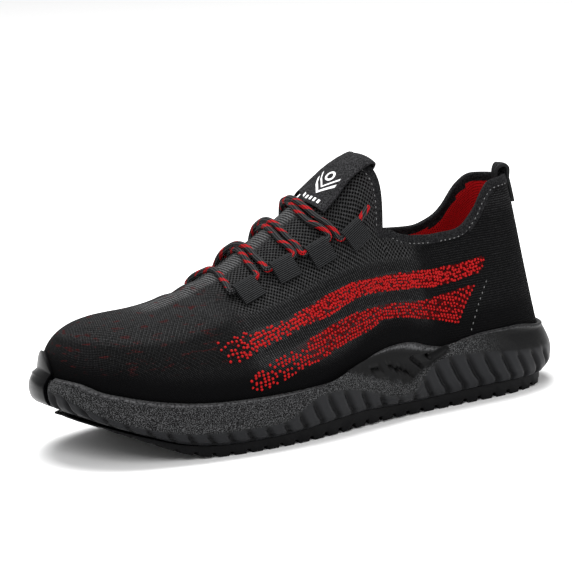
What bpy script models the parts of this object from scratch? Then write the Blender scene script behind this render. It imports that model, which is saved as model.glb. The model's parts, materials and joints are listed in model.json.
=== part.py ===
"""Safety sneaker, the left shoe of a pair: a knitted bootie upper on a ribbed cup sole.

Frame: metres, +Z up, the floor at Z = 0. The toe points to -X, the heel to +X, the outer side of the
foot to -Y and the inner side to +Y. The origin is on the floor, under the middle of the shoe.
"""
import math

import bmesh
import bpy
import numpy as np

# Driving sizes of the last and the sole, in metres
LENGTH = 0.296
BALL_WIDTH = 0.108
HEEL_WIDTH = 0.080
MIDSOLE_HEIGHT = 0.035
CUP_FLOOR = 0.0265
TOE_SPRING = 0.0300
OUTSOLE_DEPTH = 0.0060
TOE_BOX_HEIGHT = 0.0670
INSTEP_HEIGHT = 0.1278
COLLAR_HEIGHT = 0.1080
INSTEP_SHIFT = 0.0085
TOE_FAN = 0.0380
HEEL_FAN = 0.0430

# Walls, clearances and small parts
WALL = 0.0023
GAP = 0.0003
INSOLE_DEPTH = 0.0040
INSOLE_LIFT = 0.0004
FOOT_LIFT = 0.0012
RIM_WALL = 0.0020
RIB_COUNT = 66
RIB_DEPTH = 0.0017
RIB_SLANT = 0.60
SEAM_LIP = 0.0011
PANEL_DEPTH = 0.0007
LUG_PITCH = 0.0092
LUG_DEPTH = 0.0020
LUG_ZIGZAG = 0.0022
OUTSOLE_INSET = 0.0060
OUTSOLE_NOSE = 0.022
GUARD_WALL = 0.0018
GUARD_WIDTH = 0.034
GUARD_SHIFT = 0.013
GUARD_RISE = 0.0082
GUARD_DIP = 0.0022
GUARD_EASE = 0.0010
LABEL_WIDTH = 0.029
LABEL_SHIFT = 0.0010
LABEL_LENGTH = 0.0248
LABEL_TUCK = 0.014
LABEL_WALL = 0.0013
LABEL_GAP = 0.0011
LABEL_STAND = 0.0012
LABEL_NARROWING = 0.85
LABEL_SINK = 0.0020
PULL_WIDTH = 0.0115
PULL_WALL = 0.0015
PULL_RISE = 0.0072
PULL_BULGE = 0.0016
LACE_WIDTH = 0.0033
LACE_LIFT = 0.0006
LACE_CLEAR = 0.0009
LACE_SPREAD = 0.0019
LACE_CROSS = 0.28
LOOP_LENGTH = 0.0120
LOOP_REACH = 0.0125
LOOP_WALL = 0.0007
TONGUE_BOW = 0.0018
TONGUE_ROUNDING = 0.0040

# Plan of the sole at its widest: half widths as shares of the local half width
SOLE_PLAN = (
    # along, outer, inner
    (0.000, -0.111, 0.111),
    (0.027, 0.370, 0.537),
    (0.081, 0.667, 0.778),
    (0.169, 0.861, 0.944),
    (0.270, 0.972, 1.000),
    (0.355, 1.000, 0.972),
    (0.456, 1.020, 0.923),
    (0.557, 1.042, 0.909),
    (0.659, 1.060, 0.938),
    (0.760, 1.040, 0.963),
    (0.861, 1.000, 0.963),
    (0.939, 0.800, 0.775),
    (0.983, 0.450, 0.400),
    (1.000, 0.025, -0.025),
)

# Heights along the sole: the rim and the rib line as shares of MIDSOLE_HEIGHT, the cup floor of
# CUP_FLOOR, the spring of TOE_SPRING, the seam above the outsole of OUTSOLE_DEPTH
SOLE_SIDE = (
    # along, rim, ribs, floor, spring, seam
    (0.000, 1.190, 1.050, 1.150, 0.860, 0.20),
    (0.020, 1.160, 0.960, 1.110, 0.780, 0.20),
    (0.045, 1.060, 0.800, 1.000, 0.680, 0.20),
    (0.080, 0.985, 0.660, 0.880, 0.545, 0.26),
    (0.120, 0.910, 0.540, 0.760, 0.380, 0.42),
    (0.165, 0.845, 0.450, 0.640, 0.180, 0.70),
    (0.215, 0.800, 0.390, 0.560, 0.040, 0.95),
    (0.270, 0.780, 0.375, 0.535, 0.000, 1.00),
    (0.330, 0.772, 0.370, 0.530, 0.000, 1.00),
    (0.375, 0.770, 0.400, 0.535, 0.000, 1.05),
    (0.410, 0.775, 0.520, 0.550, 0.000, 1.15),
    (0.450, 0.785, 0.645, 0.580, 0.010, 1.25),
    (0.490, 0.840, 0.670, 0.630, 0.020, 1.30),
    (0.530, 0.950, 0.610, 0.690, 0.030, 1.30),
    (0.570, 1.050, 0.470, 0.750, 0.030, 1.20),
    (0.610, 1.085, 0.350, 0.800, 0.025, 1.10),
    (0.645, 1.060, 0.365, 0.840, 0.015, 1.10),
    (0.680, 0.960, 0.540, 0.880, 0.005, 1.15),
    (0.715, 0.900, 0.710, 0.915, 0.000, 1.20),
    (0.755, 0.960, 0.780, 0.950, 0.000, 1.25),
    (0.810, 1.000, 0.750, 0.985, 0.000, 1.30),
    (0.880, 0.990, 0.670, 1.000, 0.000, 1.20),
    (0.940, 0.905, 0.610, 1.000, 0.020, 1.00),
    (1.000, 0.840, 0.560, 1.000, 0.060, 0.80),
)

# How far the foot of the upper stands inside the widest line of the sole, in metres
FEATHER_INSET = (
    # along, inset
    (0.000, 0.0068),
    (0.080, 0.0056),
    (0.250, 0.0048),
    (0.500, 0.0050),
    (0.750, 0.0062),
    (0.920, 0.0072),
    (1.000, 0.0072),
)

# Ridge of the upper over the toe box and up the tongue, as a share of the rise
# from TOE_BOX_HEIGHT (0) to INSTEP_HEIGHT (1)
RIDGE_SIDE = (
    # along, rise
    (0.100, -0.030),
    (0.130, 0.000),
    (0.180, 0.000),
    (0.230, 0.018),
    (0.280, 0.068),
    (0.330, 0.138),
    (0.380, 0.240),
    (0.430, 0.385),
    (0.475, 0.515),
    (0.515, 0.640),
    (0.555, 0.785),
    (0.590, 0.910),
    (0.630, 1.000),
    (0.680, 1.030),
    (1.000, 1.030),
)

# Shape of the arches between the foot of the upper and the ridge, by the share of the way round
# from the toe (0) to the heel (1): a crown above 2 is boxier and below 2 more like a roof, lean draws
# the top inwards, and a settle above 1 does so sooner
ARCH = (
    # round, outer crown, inner crown, lean, settle
    (0.000, 2.60, 2.60, 0.00, 1.3),
    (0.150, 2.60, 2.50, 0.00, 1.3),
    (0.230, 2.40, 2.10, 0.00, 1.3),
    (0.300, 2.10, 1.60, 0.00, 1.3),
    (0.380, 1.80, 1.45, 0.00, 1.3),
    (0.455, 1.80, 1.60, 0.04, 1.4),
    (0.508, 2.30, 2.10, 0.14, 1.6),
    (0.564, 4.50, 3.60, 0.32, 1.8),
    (0.622, 14.0, 5.00, 0.50, 2.1),
    (0.700, 12.0, 9.00, 0.58, 2.0),
    (0.745, 10.0, 10.0, 0.63, 1.9),
    (0.800, 9.00, 9.00, 0.68, 1.7),
    (0.850, 8.00, 8.00, 0.62, 1.5),
    (0.920, 8.00, 8.00, 0.50, 1.2),
    (1.000, 8.00, 8.00, 0.40, 1.1),
)

# Edge of the collar, carried on forwards as the line along the throat, as shares of COLLAR_HEIGHT
COLLAR = (
    # round, outer height, inner height
    (0.000, 0.500, 0.500),
    (0.200, 0.520, 0.520),
    (0.350, 0.620, 0.620),
    (0.450, 0.700, 0.700),
    (0.550, 0.790, 0.790),
    (0.622, 0.868, 0.868),
    (0.655, 0.822, 0.812),
    (0.695, 0.798, 0.778),
    (0.745, 0.792, 0.768),
    (0.780, 0.810, 0.788),
    (0.812, 0.872, 0.846),
    (0.838, 0.942, 0.915),
    (0.870, 0.988, 0.965),
    (0.920, 0.995, 0.985),
    (1.000, 0.985, 0.985),
)
TONGUE_ROUND = 0.622

# Lace loops: their places along the throat as shares of LENGTH, how far they stand from the ridge as
# shares of the arch's half width, and how far the lace in front of them slips to the toe, in metres
LOOP_PLACES = (
    # outer along, inner along, outer share, inner share, slip
    (0.362, 0.376, 0.430, 0.55, 0.000),
    (0.432, 0.446, 0.465, 0.58, 0.001),
    (0.497, 0.510, 0.535, 0.63, 0.003),
    (0.562, 0.574, 0.605, 0.68, 0.006),
)

TINTS = {
    # red, green, blue, roughness
    "knit": (0.012, 0.012, 0.013, 0.9),
    "rubber": (0.010, 0.010, 0.011, 0.35),
    "foam": (0.022, 0.022, 0.024, 0.6),
    "webbing": (0.010, 0.010, 0.011, 0.8),
    "lining": (0.45, 0.01, 0.012, 0.9),
    "lace": (0.16, 0.01, 0.012, 0.85),
    "label": (0.05, 0.05, 0.055, 0.8),
}


def column(table, index, at):
    """Smooth curve through one column of a table, read at the given places of its first column."""
    rows = np.array(table, float)
    x, y = rows[:, 0], rows[:, index]
    slope = np.gradient(y, x)
    step = np.diff(y) / np.diff(x)
    for k in range(len(x)):
        near = [step[j] for j in (k - 1, k) if 0 <= j < len(step)]
        if len(near) == 2 and near[0] * near[1] <= 0:
            slope[k] = 0.0
        else:
            slope[k] = np.clip(slope[k], -3 * min(map(abs, near)), 3 * min(map(abs, near)))
    at = np.clip(at, x[0], x[-1])
    k = np.clip(np.searchsorted(x, at, side="right") - 1, 0, len(x) - 2)
    h = x[k + 1] - x[k]
    s = (at - x[k]) / h
    near_end = y[k] * (1 + 2 * s) * (1 - s) ** 2 + slope[k] * h * s * (1 - s) ** 2
    far_end = y[k + 1] * s * s * (3 - 2 * s) + slope[k + 1] * h * s * s * (s - 1)
    return near_end + far_end


def smooth(value):
    """Eased step from 0 to 1."""
    value = np.clip(value, 0.0, 1.0)
    return value * value * (3 - 2 * value)


def half_width(along):
    """Reference half width of the sole, from the ball to the heel."""
    return 0.5 * (BALL_WIDTH + (HEEL_WIDTH - BALL_WIDTH) * smooth((along - 0.35) / 0.35))


def closed_plan():
    """The sole's widest line as a fine closed loop from the toe tip along the outer side."""
    rows = np.array(SOLE_PLAN)
    reach = half_width(rows[:, 0])
    outer = np.column_stack(((rows[:, 0] - 0.5) * LENGTH, -rows[:, 1] * reach))
    inner = np.column_stack(((rows[:, 0] - 0.5) * LENGTH, rows[:, 2] * reach))
    tips = [(outer[0] + inner[0]) / 2, (outer[-1] + inner[-1]) / 2]
    knots = np.vstack((tips[:1], outer[1:-1], tips[1:], inner[-2:0:-1]))
    count = len(knots)
    points = []
    for k in range(count):
        p0, p1, p2, p3 = (knots[(k + j) % count] for j in (-1, 0, 1, 2))
        d0, d1, d2 = (np.linalg.norm(b - a) ** 0.5 for a, b in ((p0, p1), (p1, p2), (p2, p3)))
        m1 = (p1 - p0) / d0 - (p2 - p0) / (d0 + d1) + (p2 - p1) / d1
        m2 = (p2 - p1) / d1 - (p3 - p1) / (d1 + d2) + (p3 - p2) / d2
        for s in np.arange(0, 1, 1 / 24):
            points.append(p1 * (1 + 2 * s) * (1 - s) ** 2 + p2 * s * s * (3 - 2 * s)
                          + m1 * d1 * s * (1 - s) ** 2 + m2 * d1 * s * s * (s - 1))
    return np.array(points)


class Plan:
    """The sole's widest line, read by the share of the way round it."""

    def __init__(self):
        points = closed_plan()
        self.loop = np.vstack((points, points[:1]))
        steps = np.linalg.norm(np.diff(self.loop, axis=0), axis=1)
        self.run = np.concatenate(([0], np.cumsum(steps)))
        self.length = self.run[-1]
        self.heel = self.run[int(np.argmax(points[:, 0]))] / self.length

    def point(self, round_):
        """Place on the line."""
        at = np.mod(round_, 1.0) * self.length
        return np.stack([np.interp(at, self.run, self.loop[:, k]) for k in (0, 1)], -1)

    def normal(self, round_):
        """Direction out of the sole, square to the line."""
        step = 0.004
        way = self.point(round_ + step) - self.point(round_ - step)
        way /= np.linalg.norm(way, axis=-1, keepdims=True)
        return np.stack((way[..., 1], -way[..., 0]), -1)

    def inside(self, round_, inset):
        """Place that lies the given distance inside the line."""
        return self.point(round_) - self.normal(round_) * np.asarray(inset)[..., None]

    def side(self, share, inner):
        """Way round for a share of one side, from the toe (0) to the heel (1)."""
        share = np.asarray(share, float)
        return 1 - share * (1 - self.heel) if inner else share * self.heel

    def share(self, round_):
        """Share of its side, from the toe to the heel, for a way round."""
        round_ = np.mod(round_, 1.0)
        return np.where(round_ <= self.heel, round_ / self.heel, (1 - round_) / (1 - self.heel))


PLAN = Plan()


def along(x):
    """Share of the length from the toe tip."""
    return np.asarray(x) / LENGTH + 0.5


def rim_height(x):
    return MIDSOLE_HEIGHT * column(SOLE_SIDE, 1, along(x))


def rib_height(x):
    return MIDSOLE_HEIGHT * column(SOLE_SIDE, 2, along(x))


def floor_height(x):
    return CUP_FLOOR * column(SOLE_SIDE, 3, along(x))


def ground_height(x):
    return TOE_SPRING * column(SOLE_SIDE, 4, along(x))


def seam_height(x):
    return ground_height(x) + OUTSOLE_DEPTH * column(SOLE_SIDE, 5, along(x))


def feather(round_):
    """Plan place of the upper's outer face where it enters the cup of the sole."""
    inset = column(FEATHER_INSET, 1, along(PLAN.point(round_)[..., 0]))
    return PLAN.inside(round_, inset)


def cup_height(round_):
    """Height of the cup's floor at a way round, level across the shoe."""
    share = PLAN.share(round_)
    across = [feather(PLAN.side(share, inner))[..., 0] for inner in (False, True)]
    return floor_height((across[0] + across[1]) / 2)


def throat_shift(x):
    """How far the ridge lies towards the inner side of the foot."""
    return INSTEP_SHIFT * np.sin(np.pi * np.clip(along(x) / 0.63, 0, 1)) ** 0.6


def ridge(share):
    """Top of the arch for a share of the side: its place on the centre ridge."""
    x = 0.5 * (PLAN.point(PLAN.side(share, False))[..., 0] + PLAN.point(PLAN.side(share, True))[..., 0])
    low, high = -LENGTH / 2 + TOE_FAN, LENGTH / 2 - HEEL_FAN
    soft = 0.012
    x = low + soft * np.logaddexp(0, (x - low) / soft) - soft * np.logaddexp(0, (x - high) / soft)
    rise = column(RIDGE_SIDE, 1, along(x))
    z = TOE_BOX_HEIGHT + (INSTEP_HEIGHT - TOE_BOX_HEIGHT) * rise
    y = throat_shift(x)
    return np.stack((x, y, z), -1)


def crown_at(round_):
    """How boxy the arch is at a way round."""
    share = PLAN.share(round_)
    inner = np.mod(round_, 1.0) > PLAN.heel
    return np.where(inner, column(ARCH, 2, share), column(ARCH, 1, share))


def arch_point(round_, climb):
    """A place on the upper's outer face: climb runs from 0 at the rim to 1 at the ridge."""
    round_, climb = np.broadcast_arrays(np.asarray(round_, float), np.asarray(climb, float))
    share = PLAN.share(round_)
    crown, lean, settle = crown_at(round_), column(ARCH, 3, share), column(ARCH, 4, share)
    foot = feather(round_)
    foot_z = rim_height(foot[..., 0])
    top = ridge(share)
    turn = 0.5 * np.pi * climb ** (crown / 2)
    height = np.sin(turn) ** (2 / crown)
    width = (1 - lean * (1 - (1 - np.clip(height, 0, 1)) ** settle)) * np.cos(turn)
    plan = top[..., :2] + (foot - top[..., :2]) * width[..., None]
    return np.concatenate((plan, (foot_z + (top[..., 2] - foot_z) * height)[..., None]), -1)


def climb_at(round_, z):
    """The climb at which each arch reaches a height."""
    round_, z = np.broadcast_arrays(np.asarray(round_, float), np.asarray(z, float))
    crown = crown_at(round_)
    foot_z = rim_height(feather(round_)[..., 0])
    height = np.clip((z - foot_z) / (ridge(PLAN.share(round_))[..., 2] - foot_z), 0, 1)
    return (np.arcsin(height ** (crown / 2)) / (0.5 * np.pi)) ** (2 / crown)


def arch_normal(round_, climb):
    """Direction out of the upper at a place on its outer face."""
    step = 0.002
    climb = np.clip(climb, 3 * step, 1 - 3 * step)
    a = arch_point(round_ + step, climb) - arch_point(round_ - step, climb)
    b = arch_point(round_, climb + step) - arch_point(round_, climb - step)
    n = np.cross(a, b)
    return n / np.linalg.norm(n, axis=-1, keepdims=True)


def collar_height(round_):
    """Height of the collar's edge, and in front of it of the line along the throat."""
    inner = float(np.mod(round_, 1.0)) > PLAN.heel
    return COLLAR_HEIGHT * column(COLLAR, 2 if inner else 1, PLAN.share(round_))


def tongue_share(rise):
    """Share of the side at the tongue's free edge, for the share of the way up it."""
    bow = TONGUE_BOW * np.sin(np.pi * rise) - TONGUE_ROUNDING * np.power(rise, 3)
    return TONGUE_ROUND + 2 * bow / PLAN.length


def throat_round(x, inner):
    """Way round whose arch stands at the given X."""
    shares = np.linspace(0.1, 0.9, 400)
    return PLAN.side(np.interp(x, ridge(shares)[:, 0], shares), inner)


def material(name):
    """Principled finish of one of the shoe's stuffs."""
    red, green, blue, rough = TINTS[name]
    made = bpy.data.materials.get(name) or bpy.data.materials.new(name)
    made.use_nodes = True
    shader = made.node_tree.nodes["Principled BSDF"]
    shader.inputs["Base Color"].default_value = (red, green, blue, 1)
    shader.inputs["Roughness"].default_value = rough
    shader.inputs["Metallic"].default_value = 0.0
    made.diffuse_color = (red, green, blue, 1)
    return made


def add_object(name, points, faces, tint, merge=1e-6):
    """Object from points and faces, with doubled points merged and faces turned outwards."""
    mesh = bpy.data.meshes.new(name)
    mesh.from_pydata([tuple(map(float, p)) for p in points], [], [tuple(map(int, f)) for f in faces])
    work = bmesh.new()
    work.from_mesh(mesh)
    bmesh.ops.remove_doubles(work, verts=work.verts, dist=merge)
    bmesh.ops.dissolve_degenerate(work, edges=work.edges, dist=merge)
    bmesh.ops.recalc_face_normals(work, faces=work.faces)
    work.to_mesh(mesh)
    work.free()
    mesh.materials.append(material(tint))
    mesh.shade_smooth()
    mesh.set_sharp_from_angle(angle=math.radians(40))
    made = bpy.data.objects.new(name, mesh)
    bpy.context.scene.collection.objects.link(made)
    return made


def ring_faces(rings, count):
    """Quads between rings of points that follow one another."""
    return [(r * count + k, r * count + (k + 1) % count, (r + 1) * count + (k + 1) % count, (r + 1) * count + k)
            for r in range(rings - 1) for k in range(count)]


def cap_faces(start, count):
    """Cross strips that close a ring whose points pair up across the shoe."""
    return [(start + k, start + k + 1, start + (count - k - 1) % count, start + (count - k) % count)
            for k in range(count // 2)]


def grid_faces(rows, columns, start=0):
    return [(start + r * columns + c, start + r * columns + c + 1,
             start + (r + 1) * columns + c + 1, start + (r + 1) * columns + c)
            for r in range(rows - 1) for c in range(columns - 1)]


def even_rounds(count):
    """Ways round in pairs: the same number of steps on the outer and the inner side."""
    half = count // 2
    outer = PLAN.side(np.arange(half) / half, False)
    inner = PLAN.side(1 - np.arange(half) / half, True)
    return np.concatenate((outer, inner))


def guard_distance(round_):
    """Distance along the sole's line from the end of the toe guard, below 0 behind it."""
    turned = np.mod(round_ + GUARD_SHIFT / PLAN.length + 0.5, 1) - 0.5
    return np.abs(turned) * PLAN.length - GUARD_WIDTH / 2


def guard_mask(round_):
    """1 behind the toe guard, 0 away from it."""
    return 1 - smooth((guard_distance(round_) - GAP) / 0.003)


def panel_mask(x):
    """1 in the smooth panel at the waist of the sole."""
    here = along(x)
    return smooth((here - 0.46) / 0.06) * (1 - smooth((here - 0.66) / 0.05))


def wall_rows(round_):
    """Outer wall of the sole from its seam up to the rim, without its ribs. Each row has a height, an
    inset, how deep a rib groove cuts into it, whether it leans with the ribs and how far the toe guard
    is let into it."""
    x = PLAN.point(round_)[:, 0]
    seam, ribs, rim = seam_height(x), rib_height(x), rim_height(x)
    shoulder = column(FEATHER_INSET, 1, along(x)) - RIM_WALL - GAP
    heel = smooth((along(x) - 0.80) / 0.15)
    tall, band = ribs - seam, rim - ribs
    return (
        (seam, OUTSOLE_INSET - 0.0008 + 0 * x, 0.0, False, 1.0),
        (seam + SEAM_LIP, 0.0034 + 0 * x, 0.8, False, 1.0),
        (seam + 0.38 * tall, 0.0012 - 0.0007 * heel, 1.0, True, 1.0),
        (seam + 0.74 * tall, 0.0002 + 0 * x, 1.0, True, 1.0),
        (ribs, 0.0006 * heel, 0.2, True, 1.0),
        (ribs + 0.45 * band, (0.22 + 0.24 * heel) * shoulder, 0.0, True, 0.8),
        (ribs + 0.82 * band, (0.66 + 0.16 * heel) * shoulder, 0.0, True, 0.5),
        (rim, shoulder, 0.0, False, 0.0),
    )


def midsole():
    """Cup sole: ribbed lower wall, band and rim above it, inner wall and floor of the cup."""
    count = RIB_COUNT * 3
    base = even_rounds(count)
    cut = RIB_DEPTH * np.tile((1.0, 0.12, 0.0), RIB_COUNT)
    way = np.clip(4 * np.sin(2 * np.pi * base), -1, 1) * smooth((guard_distance(base) - 0.004) / 0.020)
    x = PLAN.point(base)[:, 0]
    dip = GUARD_DIP * guard_mask(base)
    rings = []
    for row, (height, inset, depth, leans, let_in) in enumerate(wall_rows(base)):
        shift = -way * RIB_SLANT * (height - seam_height(x)) / PLAN.length if leans else 0.0
        panel = PANEL_DEPTH * panel_mask(x) if row in (5, 6) else 0.0
        scallop = SEAM_LIP * 0.5 * cut / RIB_DEPTH if row == 1 else 0.0
        guard = guard_mask(base + shift) * (let_in * (GUARD_WALL + GAP) + GUARD_EASE)
        place = PLAN.inside(base + shift, inset + depth * cut + guard + panel)
        rings.append(np.column_stack((place, height + scallop - (dip if row == 7 else 0.0))))
    foot = feather(base) + PLAN.normal(base) * GAP
    rings.append(np.column_stack((foot, rim_height(x) - dip)))
    rings.append(np.column_stack((foot, cup_height(base))))
    faces = ring_faces(len(rings), count)
    faces += cap_faces(0, count) + cap_faces((len(rings) - 1) * count, count)
    return add_object("midsole", np.vstack(rings), faces, "foam")


def outsole():
    """Tread layer with zigzag lugs across, flat under the ball and the heel."""
    inset = OUTSOLE_INSET
    heel_cut = 0.004
    fine = np.linspace(0, 1, 600)
    sides = []
    for inner in (False, True):
        place = PLAN.inside(PLAN.side(fine, inner), inset)
        sides.append(place)
    start = max(side[:, 0].min() for side in sides) + 0.0070
    stop = min(side[:, 0].max() for side in sides) - heel_cut
    across = 4
    weave = np.array([0, 1, 0, 1, 0]) * LUG_ZIGZAG - LUG_ZIGZAG / 2
    stations, depths = [], []
    for k in range(int((stop - start) / LUG_PITCH)):
        for part, depth in ((0.0, 0.0), (0.60, 0.0), (0.70, 1.0), (0.90, 1.0)):
            stations.append(start + LUG_ZIGZAG + (k + part) * LUG_PITCH)
            depths.append(depth)
    stations, depths = np.array(stations), np.array(depths)
    keep = stations < stop - LUG_ZIGZAG
    stations, depths = stations[keep], depths[keep]
    upper, lower = [], []
    for x0, depth in zip(stations, depths):
        x = x0 + weave
        edge = []
        for side in sides:
            order = np.argsort(side[:, 0])
            edge.append(np.interp(x, side[order, 0], side[order, 1]))
        share = np.linspace(-0.5, 0.5, across + 1)
        round_front = np.sqrt(np.clip((x - start + OUTSOLE_NOSE / 5) / OUTSOLE_NOSE, 0, 1))
        y = (edge[0] + edge[1]) / 2 + (edge[1] - edge[0]) * share * round_front
        upper.append(np.column_stack((x, y, seam_height(x) - GAP))[[0, -1]])
        lower.append(np.column_stack((x, y, ground_height(x) + depth * LUG_DEPTH * column(SOLE_SIDE, 5, along(x)))))
    rows, columns = len(stations), across + 1
    top, bottom = np.vstack(upper), np.vstack(lower)
    low = 2 * rows
    faces = grid_faces(rows, 2) + grid_faces(rows, columns, low)
    for r in range(rows - 1):
        for c, below in ((0, 0), (1, across)):
            faces.append((2 * r + c, 2 * r + 2 + c, low + (r + 1) * columns + below, low + r * columns + below))
    for r in (0, rows - 1):
        faces.append((2 * r, 2 * r + 1, *(low + r * columns + c for c in range(across, -1, -1))))
    return add_object("outsole", np.vstack((top, bottom)), faces, "rubber")


def insole():
    """Footbed inside the foot of the upper."""
    count = 92
    base = even_rounds(count)
    foot = feather(base) - PLAN.normal(base) * (WALL + 2 * GAP)
    low = cup_height(base) + INSOLE_LIFT
    points = np.vstack((np.column_stack((foot, low)), np.column_stack((foot, low + INSOLE_DEPTH))))
    faces = ring_faces(2, count) + cap_faces(0, count) + cap_faces(count, count)
    return add_object("insole", points, faces, "lining")


def upper():
    """Knitted bootie: one sheet from the cup of the sole over the instep, with the tongue and the
    collar as its free edges, given its wall inwards."""
    full = 21
    shares = np.concatenate((np.linspace(0, TONGUE_ROUND, full), np.linspace(TONGUE_ROUND, 1, 16)[1:]))
    lower_rows, upper_rows = 6, 7
    points, index = [], {}

    def put(key, place):
        index[key] = len(points)
        points.append(place)

    for i, share in enumerate(shares):
        for side in (0, 1):
            if side == 1 and (i == 0 or i == len(shares) - 1):
                continue
            round_ = PLAN.side(share, side == 1)
            foot = feather(round_)
            put((i, side, -1), (foot[0], foot[1], cup_height(round_) + FOOT_LIFT))
            edge = climb_at(round_, collar_height(round_))
            climbs = list(edge * np.linspace(0, 1, lower_rows + 1))
            if i < full:
                climbs += list(edge + (1 - edge) * np.linspace(0, 1, upper_rows + 1)[1:])
            for row, climb in enumerate(climbs):
                top = i < full and row == lower_rows + upper_rows
                if top and side == 1:
                    index[(i, 1, row)] = index[(i, 0, row)]
                    continue
                if i == full - 1:
                    round_ = PLAN.side(tongue_share(max(0, row - lower_rows) / upper_rows), side == 1)
                put((i, side, row), arch_point(round_, climb))
    last = len(shares) - 1
    for i in (0, last):
        for row in range(-1, lower_rows + upper_rows + 1):
            if (i, 0, row) in index:
                index[(i, 1, row)] = index[(i, 0, row)]
    faces = []
    for i in range(last):
        top = lower_rows + upper_rows if i < full - 1 else lower_rows
        for side in (0, 1):
            for row in range(-1, top):
                a, b = index[(i, side, row)], index[(i + 1, side, row)]
                c, d = index[(i + 1, side, row + 1)], index[(i, side, row + 1)]
                face = (a, b, c, d) if side == 0 else (d, c, b, a)
                faces.append(tuple(dict.fromkeys(face)))
    made = add_object("upper", points, faces, "knit")
    wall = made.modifiers.new("Wall", "SOLIDIFY")
    wall.thickness = WALL
    wall.offset = -1
    wall.use_even_offset = True
    wall.use_quality_normals = True
    return made


def sheet(name, grid, wall, offset, tint, even=True):
    """Strap from a grid of points, given its thickness."""
    rows, columns = grid.shape[:2]
    made = add_object(name, grid.reshape(-1, 3), grid_faces(rows, columns), tint)
    thick = made.modifiers.new("Wall", "SOLIDIFY")
    thick.thickness = wall
    thick.offset = offset
    thick.use_even_offset = even
    return made


def crown_place(x, y, lift):
    """Place over the throat at the given X and Y, lifted square to the upper's outer face."""
    climbs = np.linspace(0.2, 1, 240)
    round_ = throat_round(x, y > throat_shift(x))
    arch = arch_point(np.full_like(climbs, round_), climbs)
    order = np.argsort(arch[:, 1])
    climb = np.interp(y, arch[order, 1], climbs[order])
    place = arch_point(round_, climb)
    return place + arch_normal(round_, climb) * lift


def crown_normal(x, y):
    return (crown_place(x, y, 0.001) - crown_place(x, y, 0.0)) / 0.001


def tongue_edge(y):
    """Share of the side at which the tongue's free edge passes the given Y."""
    inner = y > ridge(TONGUE_ROUND)[1]
    rises = np.linspace(0, 1, 60)
    edge = climb_at(PLAN.side(TONGUE_ROUND, inner), collar_height(PLAN.side(TONGUE_ROUND, inner)))
    line = arch_point(PLAN.side(tongue_share(rises), inner), edge + (1 - edge) * rises)
    order = np.argsort(line[:, 1])
    return float(np.interp(y, line[order, 1], tongue_share(rises)[order]))


def arch_place(share, y, lift):
    """Place on one arch at the given Y, lifted square to the upper's outer face."""
    climbs = np.linspace(0.2, 1, 240)
    round_ = PLAN.side(share, y > ridge(share)[1])
    arch = arch_point(np.full_like(climbs, round_), climbs)
    order = np.argsort(arch[:, 1])
    climb = np.interp(y, arch[order, 1], climbs[order])
    return arch_point(round_, climb) + arch_normal(round_, climb) * lift


def tongue_label():
    """Label strap that lies on the top of the tongue and is folded over its edge."""
    spread = np.linspace(-0.5, 0.5, 7)
    ys = LABEL_SHIFT + spread * LABEL_WIDTH
    edges = np.array([tongue_edge(y) for y in ys])
    length, tuck = LABEL_LENGTH / LENGTH, LABEL_TUCK / LENGTH
    stand = LABEL_STAND * smooth(-2 * spread)
    rows = [[arch_place(edge - length * back, y, LABEL_GAP + off) for edge, y, off in zip(edges, ys, stand)]
            for back in np.linspace(1, 0, 7)]
    under = WALL + 2 * LABEL_GAP
    fold = []
    for edge, y, off in zip(edges, ys, stand):
        skin, behind = arch_place(edge, y, 0.0), arch_place(edge - tuck / 4, y, 0.0)
        way = (skin - behind) / np.linalg.norm(skin - behind)
        out = arch_place(edge, y, 1.0) - skin
        fold.append((skin - out * WALL / 2, way, out * (1 + off / under), y))
    for angle in np.radians((40, 90, 140)):
        rows.append([middle + out * (under / 2) * math.cos(angle) + way * (under / 2 + GAP) * math.sin(angle)
                     for middle, way, out, _ in fold])
    for back in np.linspace(0, tuck, 4)[1:]:
        rows.append([arch_place(edge - back, y * LABEL_NARROWING, -(WALL + LABEL_GAP) - LABEL_SINK)
                     for edge, y in zip(edges, ys)])
    return sheet("tongue_label", np.array(rows), LABEL_WALL, 1, "label")


def pull_loop():
    """Webbing loop at the heel, from the outside over the collar to the inside."""
    spots = np.linspace(-PULL_WIDTH / 2, PULL_WIDTH / 2, 4)
    heel = PLAN.heel
    edge = climb_at(heel, collar_height(heel))
    lift = 2 * GAP + PULL_WALL / 2
    outside, inside = [], []
    for climb in np.linspace(edge * 0.80, edge * 0.97, 4):
        width = arch_point(heel, climb)[0] - ridge(1.0)[0]
        spread = width / (feather(heel)[0] - ridge(1.0)[0])
        rounds = heel - spots / PLAN.length / spread
        outside.append([arch_point(r, climb) + arch_normal(r, climb) * lift for r in rounds])
        inside.append([arch_point(r, climb) - arch_normal(r, climb) * (WALL + lift + 3 * GAP) for r in rounds])
    rows = list(outside)
    out_end, in_end = np.array(outside[-1]), np.array(inside[-1])
    middle, half = (out_end + in_end) / 2, (out_end - in_end) / 2
    reach = np.linalg.norm(half, axis=1, keepdims=True)
    for angle in np.radians(np.linspace(0, 180, 8)[1:-1]):
        span = half / reach * (reach + PULL_BULGE * math.sin(angle)) * math.cos(angle)
        rise = PULL_RISE * math.sin(angle) ** 0.7
        rows.append(middle + span + np.array((0, 0, rise)))
    rows += inside[::-1]
    made = sheet("pull_loop", np.array(rows), PULL_WALL, 0, "webbing", even=False)
    made.modifiers.new("Triangles", "TRIANGULATE")
    return made


def throat_place(x, inner):
    """Place on the upper, along the line where the lace loops are sewn."""
    rows = np.array(LOOP_PLACES)
    out = np.interp(along(x), rows[:, int(inner)], rows[:, 2 + int(inner)])
    middle = throat_shift(x)
    side = feather(throat_round(x, inner))[1]
    return crown_place(x, middle + (side - middle) * out, 0.0)


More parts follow.
